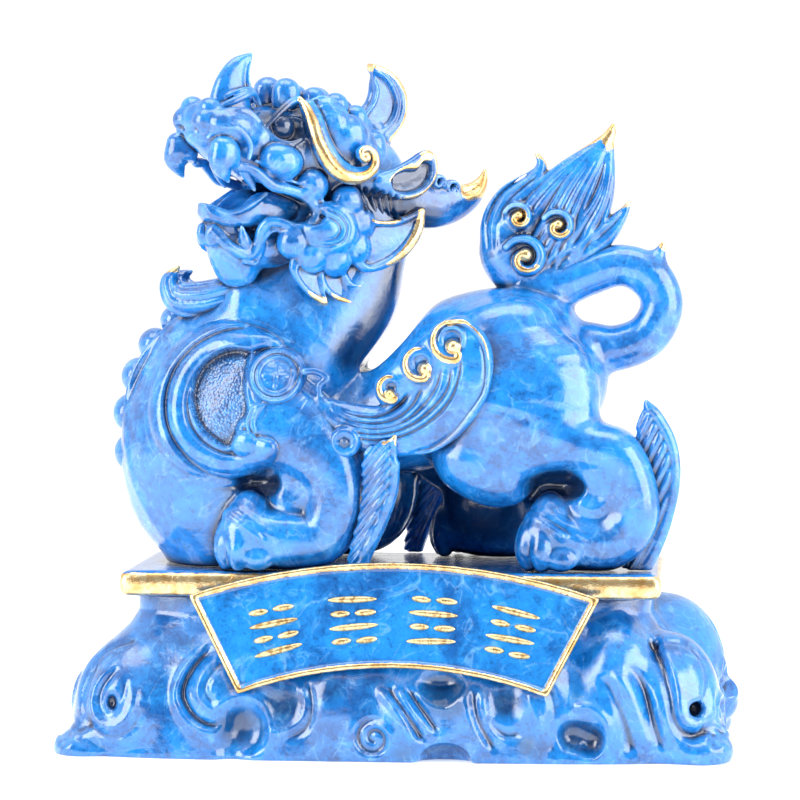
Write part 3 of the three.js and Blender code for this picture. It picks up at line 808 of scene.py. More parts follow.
@dataclass
class Torso:
    """Neck, chest, barrel, legs and the tail's tube, carved as one form."""

    step: float = 0.8
    neck: Points = (
        (-25, -1, 147, 22, 17), (-24.5, 0, 131, 29, 19.5), (-30.5, 0, 113, 34, 24), (-39.5, 0, 93, 37, 32),
        (-58, 0, 71, 42, 37), (-71, 0, 47, 41.5, 38), (-74.5, 0, 24, 34, 35), (-72, 0, 6, 22, 30),
    )
    barrel: Points = (
        (-55, 0, 61, 28, 34), (-25, 0, 54, 20, 29), (-5, 0, 56, 22, 31), (20, 0, 69, 33, 34),
        (42, 0, 76, 34, 33), (55, 0, 75, 32, 30), (61, 0, 72, 23, 25),
    )
    nape: Points = (
        (-16.5, 0, 75.6, 0.8, 18), (-9.4, 0, 80.3, 2.9, 24), (0, 0, 91, 4.4, 30), (5.5, 0, 101, 6, 33),
        (11, 0, 114, 9.4, 36),
    )
    chest_edge: Points = (
        (-87.7, 13, 97.1, 1.2, 1.2), (-97.4, 12, 87.1, 1.5, 1.5), (-104.3, 12, 76.3, 1.5, 1.5),
        (-107.6, 12, 63.1, 1.5, 1.5), (-107.6, 12, 49.1, 1.5, 1.5), (-104.1, 12, 33.1, 1.5, 1.5),
        (-96.4, 12, 19.2, 1.5, 1.5), (-89.6, 12, 9.2, 1.4, 1.4), (-84, 12, 2.8, 1.2, 1.2),
    )
    tube: Points = (
        (60, 0, 82, 12, 12), (73, 2, 86.5, 9.8, 10), (86.5, 3, 85.5, 9.2, 9.4), (99.5, 3, 91, 8.8, 9),
        (105, 3, 103, 8.4, 8.6), (100, 3, 114.5, 8.4, 8.6), (88.5, 3, 118.5, 8.4, 8.6),
        (75.5, 3, 115, 8.8, 9), (63, 3, 111, 9.6, 9.6), (51, 3, 115, 11, 10.5),
    )
    chest_line: Points = (
        (-82.8, 99.2), (-93.9, 89.2), (-101.9, 80.2), (-107.0, 68.2), (-108.1, 57.2), (-106.6, 43.3),
        (-103.1, 31.3), (-97.1, 20.3), (-89.1, 9.4), (-82.1, 4.4),
    )

    def paw(self, solid: Field, x: float, y: float, side: int) -> None:
        """Adds a rounded paw with four toes and a dew claw.

        Args:
            solid: the field they join.
            x: where the paw's middle is along x.
            y: where it is along y.
            side: which side the leg is on.
        """
        solid.add(Egg((x + 1.5, y, 17), (8.4, 11, 14)), 3)
        for along, out, top, size in (
            (-6, -7, 15, 4), (-7.6, -1, 17, 4), (-6.6, 5.6, 17, 4), (-1.6, 9.2, 15.5, 3.9),
        ):
            toe = [
                (x + along * r, y + side * out * r, z, size * w, size * w)
                for r, z, w in ((0.5, top + 3, 0.9), (1, top - 3, 1.05), (1.12, 7, 1.05), (1, 2.6, 0.8))
            ]
            solid.add(Sweep(toe), 0.7)
        solid.add(Egg((x + 6, y + side * 9.6, 4.8), (6.4, 4.4, 4.8)), 1)
        for lift in (0, 2.6):
            strap = ((-8.6, 3, 21.5), (-5.4, 8.6, 20), (0.4, 12, 16.5), (7, 13, 12))
            line = [(x + a, y + side * b, z + lift, 0.8, 0.8) for a, b, z in strap]
            solid.add(Sweep(line), 0.8)

    def foreleg(self, solid: Field, side: int, reach: float) -> None:
        """Adds a foreleg that lies along the ground."""
        leg = (
            (-60, 27, 65, 26, 14), (-42 + 0.3 * reach, 31, 56, 19, 14.5), (-29 + reach, 33, 47, 14, 14),
            (-22 + reach, 33, 36, 12, 14), (-21.5 + reach, 33, 24, 11.5, 14), (-27 + reach, 33, 13, 11, 13.5),
            (-40, 34, 11, 11.5, 13), (-56 - reach, 35, 13, 11.5, 13.2),
        )
        solid.add(Sweep(sided(leg, side), power=2.5), 4)
        solid.add(Egg((-37 + reach, 30 * side, 30), (12, 11, 13)), 5)
        solid.cut(Egg((-53 + 0.4 * reach, 46 * side, 33.5), (11, 19, 6.2)), 3)
        solid.cut(Egg((-40 + reach, 51 * side, 31), (9, 11.5, 9)), 2)
        self.paw(solid, -57 - reach, 35 * side, side)

    def hindleg(self, solid: Field, side: int, stride: float) -> None:
        """Adds a hind leg: haunch, folded shank and long foot.

        Args:
            solid: the field it joins.
            side: which side it is on.
            stride: how far the foot is ahead.
        """
        haunch = (
            (44, 18, 88, 22, 17), (48 - 0.2 * stride, 24, 68, 33.5, 20.5),
            (37 - 0.4 * stride, 26, 42.5, 21.5, 17),
        )
        shank = (
            (58 - 0.3 * stride, 25, 51, 14, 17), (75 - 0.6 * stride, 27, 48.5, 10, 16),
            (87.5 - 0.9 * stride, 28, 45, 10.5, 16), (94 - stride, 28, 33, 10, 15.5),
            (94 - stride, 28, 20, 10.5, 15), (86 - stride, 28, 11.5, 11, 14.5),
            (74 - stride, 28, 11, 11.5, 13.5), (61 - stride, 29, 12.5, 11, 13.2),
        )
        solid.add(Sweep(sided(haunch, side), power=2.3), 5)
        solid.add(Egg((70 - 0.9 * stride, 16 * side, 28), (19, 12, 24)), 3)
        solid.add(Sweep(sided(shank, side), power=2.5), 7)
        solid.add(Egg((80 - stride, 30 * side, 30), (12, 11, 13)), 5)
        solid.cut(Egg((64 - stride, 44 * side, 32.5), (13, 20, 6.8)), 3)
        solid.cut(Egg((78.5 - stride, 50 * side, 30), (9.4, 12, 9.4)), 2)
        self.paw(solid, 61 - stride, 30 * side, side)

    def carve(self) -> Carving:
        """The whole torso."""
        solid = Field((-119, -64, -2), (118, 64, 166), self.step)
        solid.add(Sweep(self.neck))
        solid.add(Sweep(self.barrel), 9)
        solid.add(Egg((-42, 0, 34), (38, 28, 33)), 8)
        solid.add(Egg((-59, -17, 104), (9.5, 13, 13)), 7)
        solid.cut(Sweep(self.nape), 2)
        solid.soften(3)
        for side, reach, stride in ((OFF, 15, 38), (NEAR, 0, 0)):
            self.hindleg(solid, side, stride)
            self.foreleg(solid, side, reach)
        solid.add(Sweep(self.tube, caps=0.5), 5)
        spur = ((98, 3, 112, 6, 5), (103, 3, 121, 3.4, 3), (106, 3, 128.5, 0.8, 0.8))
        solid.add(Sweep(spur), 3)
        relief = Relief(solid)
        relief.groove(self.chest_line, 1.3, -1.1, (0.05, 0.05))
        for strap in (
            ((-66, 21.5), (-60, 20.5), (-53, 15.5), (-46, 10.5)),
            ((-64, 25), (-58, 23.6), (-51, 18.6), (-43.5, 13)), ((54, 20.5), (60, 19), (67, 15), (75, 10.6)),
            ((57, 24.4), (63, 22), (70, 18), (77, 13.4)),
        ):
            relief.groove(strap, 0.85, -1.0)
        relief.ground(ShoulderPatch.dish, -3.2, 2.4)
        relief.groove([(110, 92), (112.5, 103), (108, 116), (104.5, 126)], 0.8, 0.8, (0.3, 0.1))
        solid.emboss(relief, near=-8)
        solid.emboss(relief, off=8)
        for side in (NEAR, OFF):
            solid.add(Sweep(sided(self.chest_edge, side)), 0.8)
        solid.cut(Block((-130, -70, -12), (130, 70, 0), 0.1))
        gold = [Gilding([(105, 3, 125), (106, 3, 129)], 1.6, 2.4)]
        # Painted shade under the belly, in the pockets by the paws and down the neck's rear on both sides.
        painted_shade_lines = [Gilding([(-10, 0, 26), (52, 0, 20)], 20, 20)]
        for side in (NEAR, OFF):
            painted_shade_lines.append(Gilding([(-67, 31 * side, 36), (-46, 32 * side, 33)], 7, 7))
            painted_shade_lines.append(Gilding([(60, 30 * side, 33), (77, 30 * side, 33)], 7, 7))
            painted_shade_lines.append(Gilding([(3, 12 * side, 116), (-3, 20 * side, 98), (-14, 26 * side, 84)], 8, 9))
        return Carving("torso", solid, gold, keep=0.307, painted_shade_lines=painted_shade_lines)


@dataclass
class ShoulderPatch:
    """The shoulder's ornament: a coin, a pebbled dish and broad bands that hook round them."""

    side: int
    name: str
    step: float = 0.42
    coin: Sequence[float] = (-44, 76.2)
    coin_radius: float = 10.6
    outline: Points = (
        (-34, 88), (-48, 97), (-62, 99.5), (-80, 94), (-94, 82), (-99.5, 66), (-98.5, 52), (-92, 40),
        (-80, 32), (-62, 31), (-46, 35), (-38, 44), (-36, 56), (-30, 68), (-29, 80),
    )
    outer_band: Points = (
        (-52, 93.5), (-62, 94), (-72, 91.5), (-81, 86), (-88.5, 77.5), (-92, 66.5), (-91.3, 56.5), (-87, 48),
        (-80, 40.5), (-71, 36),
    )
    broad_band: Points = (
        (-41, 87), (-49, 89.5), (-58, 90.3), (-67.5, 88.6), (-76.5, 83.5), (-82.5, 75), (-84.6, 65),
        (-82.5, 54.5), (-76, 46), (-67, 41.2), (-58, 40.6), (-51, 43.2), (-47.5, 47.5),
    )
    parting: Points = (
        (-48, 93), (-60, 94), (-70, 91.4), (-79, 85.6), (-85.8, 76.6), (-88.6, 66), (-87, 55), (-81, 46),
        (-72, 39.4), (-62, 37.4), (-54, 38.8),
    )
    dish: Points = (
        (-54.1, 85.3), (-62, 87), (-69.8, 84), (-76.4, 76.5), (-78.4, 66.7), (-75.8, 57.4), (-69.9, 50.8),
        (-63.1, 47.8), (-60.1, 51.2), (-58.1, 57), (-55.2, 60), (-54.7, 63.9), (-56.1, 73.6), (-55.1, 81.4),
    )

    def coin_face(self, relief: Relief) -> None:
        """Rings and a plain cross of bars on the coin."""
        x, z = self.coin
        for radius, width, height in ((9.7, 0.7, 0.7), (8.2, 0.5, -0.5), (6.9, 0.5, 0.6), (5.9, 0.4, -0.3)):
            relief.ring(self.coin, radius, width, height)
        for a, b in (((-4.6, 0), (4.6, 0)), ((0, -4.6), (0, 4.6))):
            relief.groove([(x + a[0], z + a[1]), (x + b[0], z + b[1])], 0.42, -0.75, (0, 0))
        for i in (-1, 1):
            for k in (-1, 1):
                for reach, length in ((1.5, 3.7), (3.0, 2.6)):
                    start = (x + i * 1.2, z + k * reach)
                    end = (x + i * length, z + k * reach)
                    relief.groove([start, end], 0.36, -0.6, (0, 0))

    def carve(self, torso: Field) -> Carving:
        """Lays the ornament on the torso's side.

        Args:
            torso: the field that carries it.

        Returns:
            A thin shell that follows the torso.
        """
        y_low, y_high = (-58, -18) if self.side < 0 else (18, 58)
        solid = torso.resampled((-101, y_low, 28), (-26, y_high, 102), self.step)
        deep = -solid.values - 4.5
        relief = Relief(solid)
        relief.pillow(self.outer_band, 4.2, 2.4, (0.2, 0.25))
        relief.pillow(self.broad_band, 4.6, 3.6, (0.12, 0.0))
        relief.dome((-49.4, 47.4), 5.0, 3.2)
        relief.dome((-56, 49), 5.8, 4.0)
        relief.groove(self.parting, 0.8, 1.5, (0.15, 0.1))
        relief.groove(self.dish + self.dish[:1], 1.0, -1.6, (0, 0))
        for shift, width in ((0, 0.7), (-2.2, 0.6)):
            relief.groove(
                [(-47.6 + shift, 65.6), (-51.6 + shift, 62.4), (-53 + shift, 57.4), (-51.6 + shift, 53.4)],
                width, -1.3,
            )
        relief.heights = np.where(
            np.hypot(relief.U - self.coin[0], relief.V - self.coin[1]) < self.coin_radius,
            2.2 + 0 * relief.heights, relief.heights,
        )
        r = np.hypot(relief.U - self.coin[0], relief.V - self.coin[1])
        edge = np.clip((r - self.coin_radius + 1.2) / 1.2, 0, 1) * (r < self.coin_radius)
        relief.heights -= 1.1 * edge**2
        self.coin_face(relief)
        relief.ring(self.coin, 12.2, 1.0, -0.6)
        within = relief.inside(self.outline, 3.0)
        relief.heights = relief.heights * within + 0.16 * within - 1.2 * (1 - within)
        solid.emboss(relief)
        solid.values = np.maximum(solid.values, deep)
        return Carving(self.name, solid, keep=0.34, grain=self.dish)


@dataclass
class Wing:
    """A wing in low relief, with long feathers, three gilt curls and a boss at its root."""

    side: int
    name: str
    step: float = 0.45
    blade: Points = (
        (-35, 36, 68, 2, 3), (-20, 38, 60, 6.5, 5), (-3, 38.5, 54.5, 10, 6), (14, 40, 58.5, 11.5, 6),
        (25, 42, 69, 12.5, 5.5), (28.5, 42, 82, 12.2, 5), (27.5, 41.6, 90, 10.6, 4.8),
        (26.5, 41.2, 94.8, 7, 4.4),
    )
    rim: Points = (
        (9.4, 45), (18.1, 47.2), (26.2, 53), (33.6, 62.3), (38.3, 70), (39.2, 82), (36.6, 91), (30, 97.2),
        (23, 97.4),
    )
    hook: Points = (
        (-33, 77.6), (-28.6, 77.7), (-24.4, 74.8), (-27.2, 72.3), (-27.1, 67.5), (-24.2, 62.1), (-18.8, 58.3),
        (-12, 56.3),
    )
    feathers: Sequence[Points] = (
        ((-25, 71.9), (-23.5, 67.1), (-18.6, 62.8), (-10.8, 60.4), (-3.1, 60.6), (3.7, 64.3), (8.5, 70.2)),
        ((-25.5, 68.1), (-21.6, 62.7), (-14.7, 58.8), (-6, 57.6), (2.8, 59.3), (9.5, 64.8), (13.4, 71.8)),
        ((-19, 59.4), (-11.8, 56.4), (-3.1, 55.7), (6.2, 58.6), (13.4, 64.4), (18.7, 71.6), (21.1, 79.6)),
        ((-16, 56.2), (-9.6, 53.9), (-1.1, 53.9), (8.9, 57.2), (17.6, 63.9), (23.2, 71.3), (24.7, 80.4)),
        (
            (-14.4, 53.6), (-8.6, 51.6), (0, 51.7), (10, 54.9), (19.2, 61.1), (25.1, 68.6), (28, 77.5),
            (28.5, 84),
        ),
    )
    curls: Sequence[Sequence[float]] = (
        (24.9, 89.9, 7.4, 25.4, 87.6, 2.9), (12.8, 81.0, 6.1, 14.5, 78.9, 2.5),
        (1.2, 71.5, 4.7, 0.8, 69.1, 2.1),
    )

    def lay(self, torso: Field, x: float, z: float, lift: float) -> float:
        """Side offset of a point that lies on the wing's ground, lifted by some millimetres."""
        ground = 38.5 + 4.5 * min(1, max(0, (x + 20) / 45))
        return self.side * (max(abs(torso.surface(x, z, self.side)), ground) + lift)

    def carve(self, torso: Field) -> Carving:
        """Carves the wing against the torso.

        Args:
            torso: the field that carries it.

        Returns:
            The wing.
        """
        side = self.side
        low, high = ((-40, -54, 40), (45, -26, 104)) if side < 0 else ((-40, 26, 40), (45, 54, 104))
        solid = Field(low, high, self.step)
        solid.add(Sweep(sided(self.blade, side), power=2.6))
        solid.add(Sweep(sided(((0, 40, 70, 7, 5.5), (12, 41, 78, 9, 6), (24, 41.5, 87, 10.5, 6)), side)), 2)
        relief = Relief(solid)
        for line in self.feathers:
            relief.groove(line, 0.6, 0.9, (0.12, 0.08))
            relief.groove([(x + 1.1, z - 1.2) for x, z in line], 0.5, -0.7, (0.15, 0.15))
            relief.groove([(x - 1.0, z + 1.1) for x, z in line], 0.5, -0.7, (0.15, 0.15))
        relief.groove(self.rim, 0.9, -1.3, (0.1, 0.02))
        relief.groove([(x - 1.6, z + 1.2) for x, z in self.rim[:-2]], 0.6, 0.6, (0.1, 0.1))
        solid.emboss(relief)
        gold = [Gilding([(x + 0.4, side * 47, z) for x, z in self.rim[5:]], 0.6, 1.8)]
        for x, z, radius, ball_x, ball_z, ball in self.curls:
            y = side * (45.4 if radius > 5 else 44.4)
            solid.cut(Egg((x + 0.1 * radius, y + side * 4, z), (radius * 0.9, 3.6, radius * 0.9)), 1)
            stations = []
            for degrees, swell in (
                (78, 0.5), (110, 0.9), (145, 1.2), (180, 1.4), (215, 1.6), (250, 1.7), (285, 1.6),
            ):
                a = math.radians(degrees)
                stations.append((x + radius * math.cos(a), y, z + radius * math.sin(a), swell, swell + 1.2))
            stations.append(((x + ball_x) / 2 + 0.3 * radius, y, (z + ball_z) / 2 - 0.55 * radius, 1.4, 2.6))
            solid.add(Sweep(stations), 0.4)
            inner = [
                (
                    x + 0.1 + 0.62 * radius * math.cos(a), y, z + 0.08 * radius + 0.62 * radius * math.sin(a),
                    0.8, 2,
                )
                for a in np.linspace(-0.5, 3.6, 9)
            ]
            solid.add(Sweep(inner), 0.4)
            solid.add(Egg((ball_x, y + side * 0.4, ball_z), (ball, 3.2, ball)), 0.5)
            front = [(row[0], y + side * 2.2, row[2]) for row in stations]
            gold.append(Gilding(front, 0.8, 1.5))
            gold.append(
                Gilding([(ball_x, y + side * 2, ball_z), (ball_x + 0.3, y + side * 2.6, ball_z)], ball, ball)
            )
        boss = self.lay(torso, -16.9, 50.4, 2.6)
        solid.add(Egg((-16.9, boss, 50.4), (6.2, 4.2, 6.2)), 1)
        solid.cut(Egg((-16.9, boss + 5.0 * side, 50.4), (5, 3.4, 5)), 0.6)
        solid.add(Egg((-16.9, boss + 1.6 * side, 50.4), (1.5, 1.6, 1.5)), 0.8)
        for angle in np.arange(0, 360, 60):
            u, w = 2.9 * math.cos(math.radians(angle)), 2.9 * math.sin(math.radians(angle))
            solid.add(Egg((-16.9 + u, boss + 1.4 * side, 50.4 + w), (1.1, 1.1, 1.1)), 0.6)
        # Painted shade in the hollow middle of the boss.
        painted_shade_lines = [Gilding([(-16.9, boss + side, 50.4), (-16.7, boss + side, 50.4)], 2.4, 2.4)]
        lead = [(x, self.lay(torso, x, z, 0.6), z, 1.5, 1.6) for x, z in self.hook]
        solid.add(Sweep(lead), 1.5)
        tail_ridge = [
            (x, self.lay(torso, x, z, 1.2), z, 1.3, 1.8)
            for x, z in ((-13, 52), (-9, 49), (-3.2, 49.2), (1, 52.6))
        ]
        solid.add(Sweep(tail_ridge), 1)
        return Carving(self.name, solid, gold, keep=0.62, painted_shade_lines=painted_shade_lines)


@dataclass
class Fin:
    """A leaf that stands on a joint, ribbed at a slant, with a smooth rim."""

    name: str
    side: int
    stations: Points
    rim: Points
    rib_pitch: float = 3.4
    rib_slant: float = 0.55
    gilt: Points = ()
    lean: int = -1

    def carve(self) -> Carving:
        """The fin."""
        form = Sweep(sided(self.stations, self.side), power=1.7)
        low, high = form.bounds()
        solid = Field(low - 3, high + 3, 0.42)
        solid.add(form)
        relief = Relief(solid)
        phase = (
            relief.V + self.lean * self.rib_slant * (relief.U - self.stations[0][0]) * 2.2
        ) / self.rib_pitch
        ribs = np.abs(np.sin(math.pi * phase))
        edge, share, _ = relief.reach(self.rim)
        field_part = np.clip((edge - 2.3) / 1.2, 0, 1)
        relief.heights -= 1.3 * (1 - ribs) ** 1.3 * field_part
        relief.heights -= 0.7 * np.exp(-(((edge - 2.6) / 0.6) ** 2))
        relief.heights += 0.35 * np.exp(-((edge / 1.6) ** 2))
        solid.emboss(relief)
        solid.cut(Block((-200, -80, -20), (200, 80, 0), 0.1))
        gold = [Gilding([(x, y * self.side, z) for x, y, z in self.gilt], 1.1, 0.9)] if self.gilt else []
        return Carving(self.name, solid, gold)


@dataclass
class TailTuft:
    """The tail's end, which breaks into flames, with three gilt curls on either face."""

    step: float = 0.5
    middle: float = 3.0
    root: Points = (
        (63, 3, 111, 9.6, 9.4), (51, 3, 115, 11.5, 10.4), (44, 3, 123, 11.5, 10), (43, 3, 131, 10, 9.4),
    )
    flames: Sequence[Points] = (
        (
            (46, 3, 117, 9, 9), (41, 3, 133, 8.4, 9), (44.5, 3, 143.5, 7, 8), (50.5, 3, 150, 5, 6),
            (55.4, 3, 154.2, 3.6, 4.4), (57.2, 3, 158.6, 2.3, 2.9), (55, 3, 163.1, 0.8, 1),
        ),
        (
            (57, 3, 124, 13, 10), (63.8, 3, 136.2, 12.5, 9.6), (69.6, 3, 147.9, 10.5, 8.2),
            (76.4, 3, 158.6, 7.2, 6.2), (81.6, 3, 166.2, 4.3, 4.2), (84.8, 3, 171.6, 2.2, 2.4),
            (85.6, 3, 174.6, 0.8, 1),
        ),
        (
            (70, 3, 126, 9, 9), (76, 3, 136.2, 8, 8), (80.5, 3, 144.4, 5.8, 7), (83, 3, 152.5, 4, 5.6),
            (84, 3, 160.7, 2.6, 4), (85, 3, 166.5, 1, 1.4),
        ),
        (
            (66, 3, 121, 8.5, 8), (77, 3, 127.6, 7.4, 7), (83.5, 3, 132.4, 5.6, 5.4),
            (87.6, 3, 136.8, 3.8, 4), (90.3, 3, 140.4, 2.2, 2.6), (92, 3, 144, 0.7, 1),
        ),
        (
            (48, 3, 130, 9, 9), (54, 3, 141.5, 8, 8.6), (60.5, 3, 149.5, 6.2, 7.6), (67.5, 3, 156.5, 4.8, 6),
            (75, 3, 162.8, 3.2, 4.2), (81, 3, 168, 1.6, 2.2),
        ),
    )
    strands: Sequence[float] = (3.0, 8.0, 4.0, 2.0, 4.0)
    curls: Sequence[Sequence[float]] = (
        (48.5, 137.6, 5.8, 160.0), (64.2, 133.9, 6.6, 150.0), (51.2, 121.4, 8.8, 150.0),
    )

    def carve(self) -> Carving:
        """The tuft."""
        solid = Field((28, -14, 98), (97, 20, 180), self.step)
        solid.add(Sweep(self.root))
        for flame, count in zip(self.flames, self.strands):
            solid.add(Sweep(flame, strands=count, depth=1.5), 1.2)
        relief = Relief(solid)
        relief.groove([(36.5, 124), (36.3, 136), (40, 145.5), (47, 151.5), (53, 155)], 0.7, 0.9)
        relief.groove([(39.5, 124), (39.5, 135), (43, 143.5), (49.5, 149.5), (55, 154)], 0.7, 0.9)
        relief.groove([(60, 121), (70, 125.5), (77, 130.6), (84, 135.6), (89, 140.4)], 0.9, -0.8)
        solid.emboss(relief)
        gold = []
        for face in (NEAR, OFF):
            y = self.middle + face * 10.2
            for x, z, radius, start in self.curls:
                solid.add(Egg((x, self.middle + face * 4, z), (radius * 1.1, 7.5, radius * 1.1)), 1.5)
                solid.cut(Egg((x, y + face * 2.2, z), (radius * 0.82, 4.2, radius * 0.82)), 0.8)
                arc = spiral((x, z), start, -1.2, radius, radius * 0.16, 18)
                stations = []
                for i, (ax, az) in enumerate(arc):
                    t = i / (len(arc) - 1)
                    size = radius * (0.16 + 0.07 * math.sin(math.pi * t))
                    stations.append((ax, y, az, size, size + 1.6))
                solid.add(Sweep(stations), 0.5)
                ball = arc[-1]
                solid.add(Egg((ball[0], y, ball[1]), (radius * 0.34, 3.6, radius * 0.34)), 0.6)
                front = [(ax, y + face * 2.6, az) for ax, az in arc[7:]]
                gold.append(Gilding(front, 1.0, 1.6))
                gold.append(
                    Gilding(
                        [(ball[0], y + face * 2.2, ball[1]), (ball[0] + 0.4, y + face * 2.6, ball[1])], 3, 3,
                    )
                )
        for line, first, last in (
            ([(71, 3, 163.2), (77.5, 3, 168), (82.5, 3, 172), (85.6, 3, 175.4)], 1.8, 4.5),
            ([(79.5, 3, 160), (83.5, 3, 168), (85.6, 3, 175)], 3.0, 4.5),
            ([(58.6, 3, 153.5), (59.6, 3, 157.5), (57.4, 3, 161.6), (54.8, 3, 163.6)], 1.2, 2.2),
            ([(83, 3, 139.6), (88, 3, 141.6), (92, 3, 144.4)], 1.3, 2.4),
        ):
            gold.append(Gilding(line, first, last))
        return Carving("tail_tuft", solid, gold)


@dataclass
class Beard:
    """A lock that breaks forward from under the chin and turns up to a point."""

    stations: Points = (
        (-52, -16, 110, 6, 9), (-63, -18, 108, 7, 9), (-77, -18, 105, 7.5, 8), (-86, -17, 106, 6.5, 6.5),
        (-89.5, -16, 112.5, 4, 4), (-86, -16, 118, 1, 1),
    )

    def carve(self) -> Carving:
        """The beard, with the two lesser locks beside it."""
        solid = Field((-97, -32, 90), (-42, 12, 124), 0.5)
        solid.add(Sweep(self.stations, strands=3, depth=1.3))
        far = [(x + 2, y + 15, z + 1, a * 0.85, b * 0.85) for x, y, z, a, b in self.stations[:-1]]
        solid.add(Sweep(far + [(-83, -1, 116, 1, 1)], strands=3, depth=1.2), 1.5)
        gold = [Gilding([(-89, -16, 110), (-90, -16, 114), (-86, -16, 119)], 0.8, 2.4)]
        return Carving("beard", solid, gold)


# The head


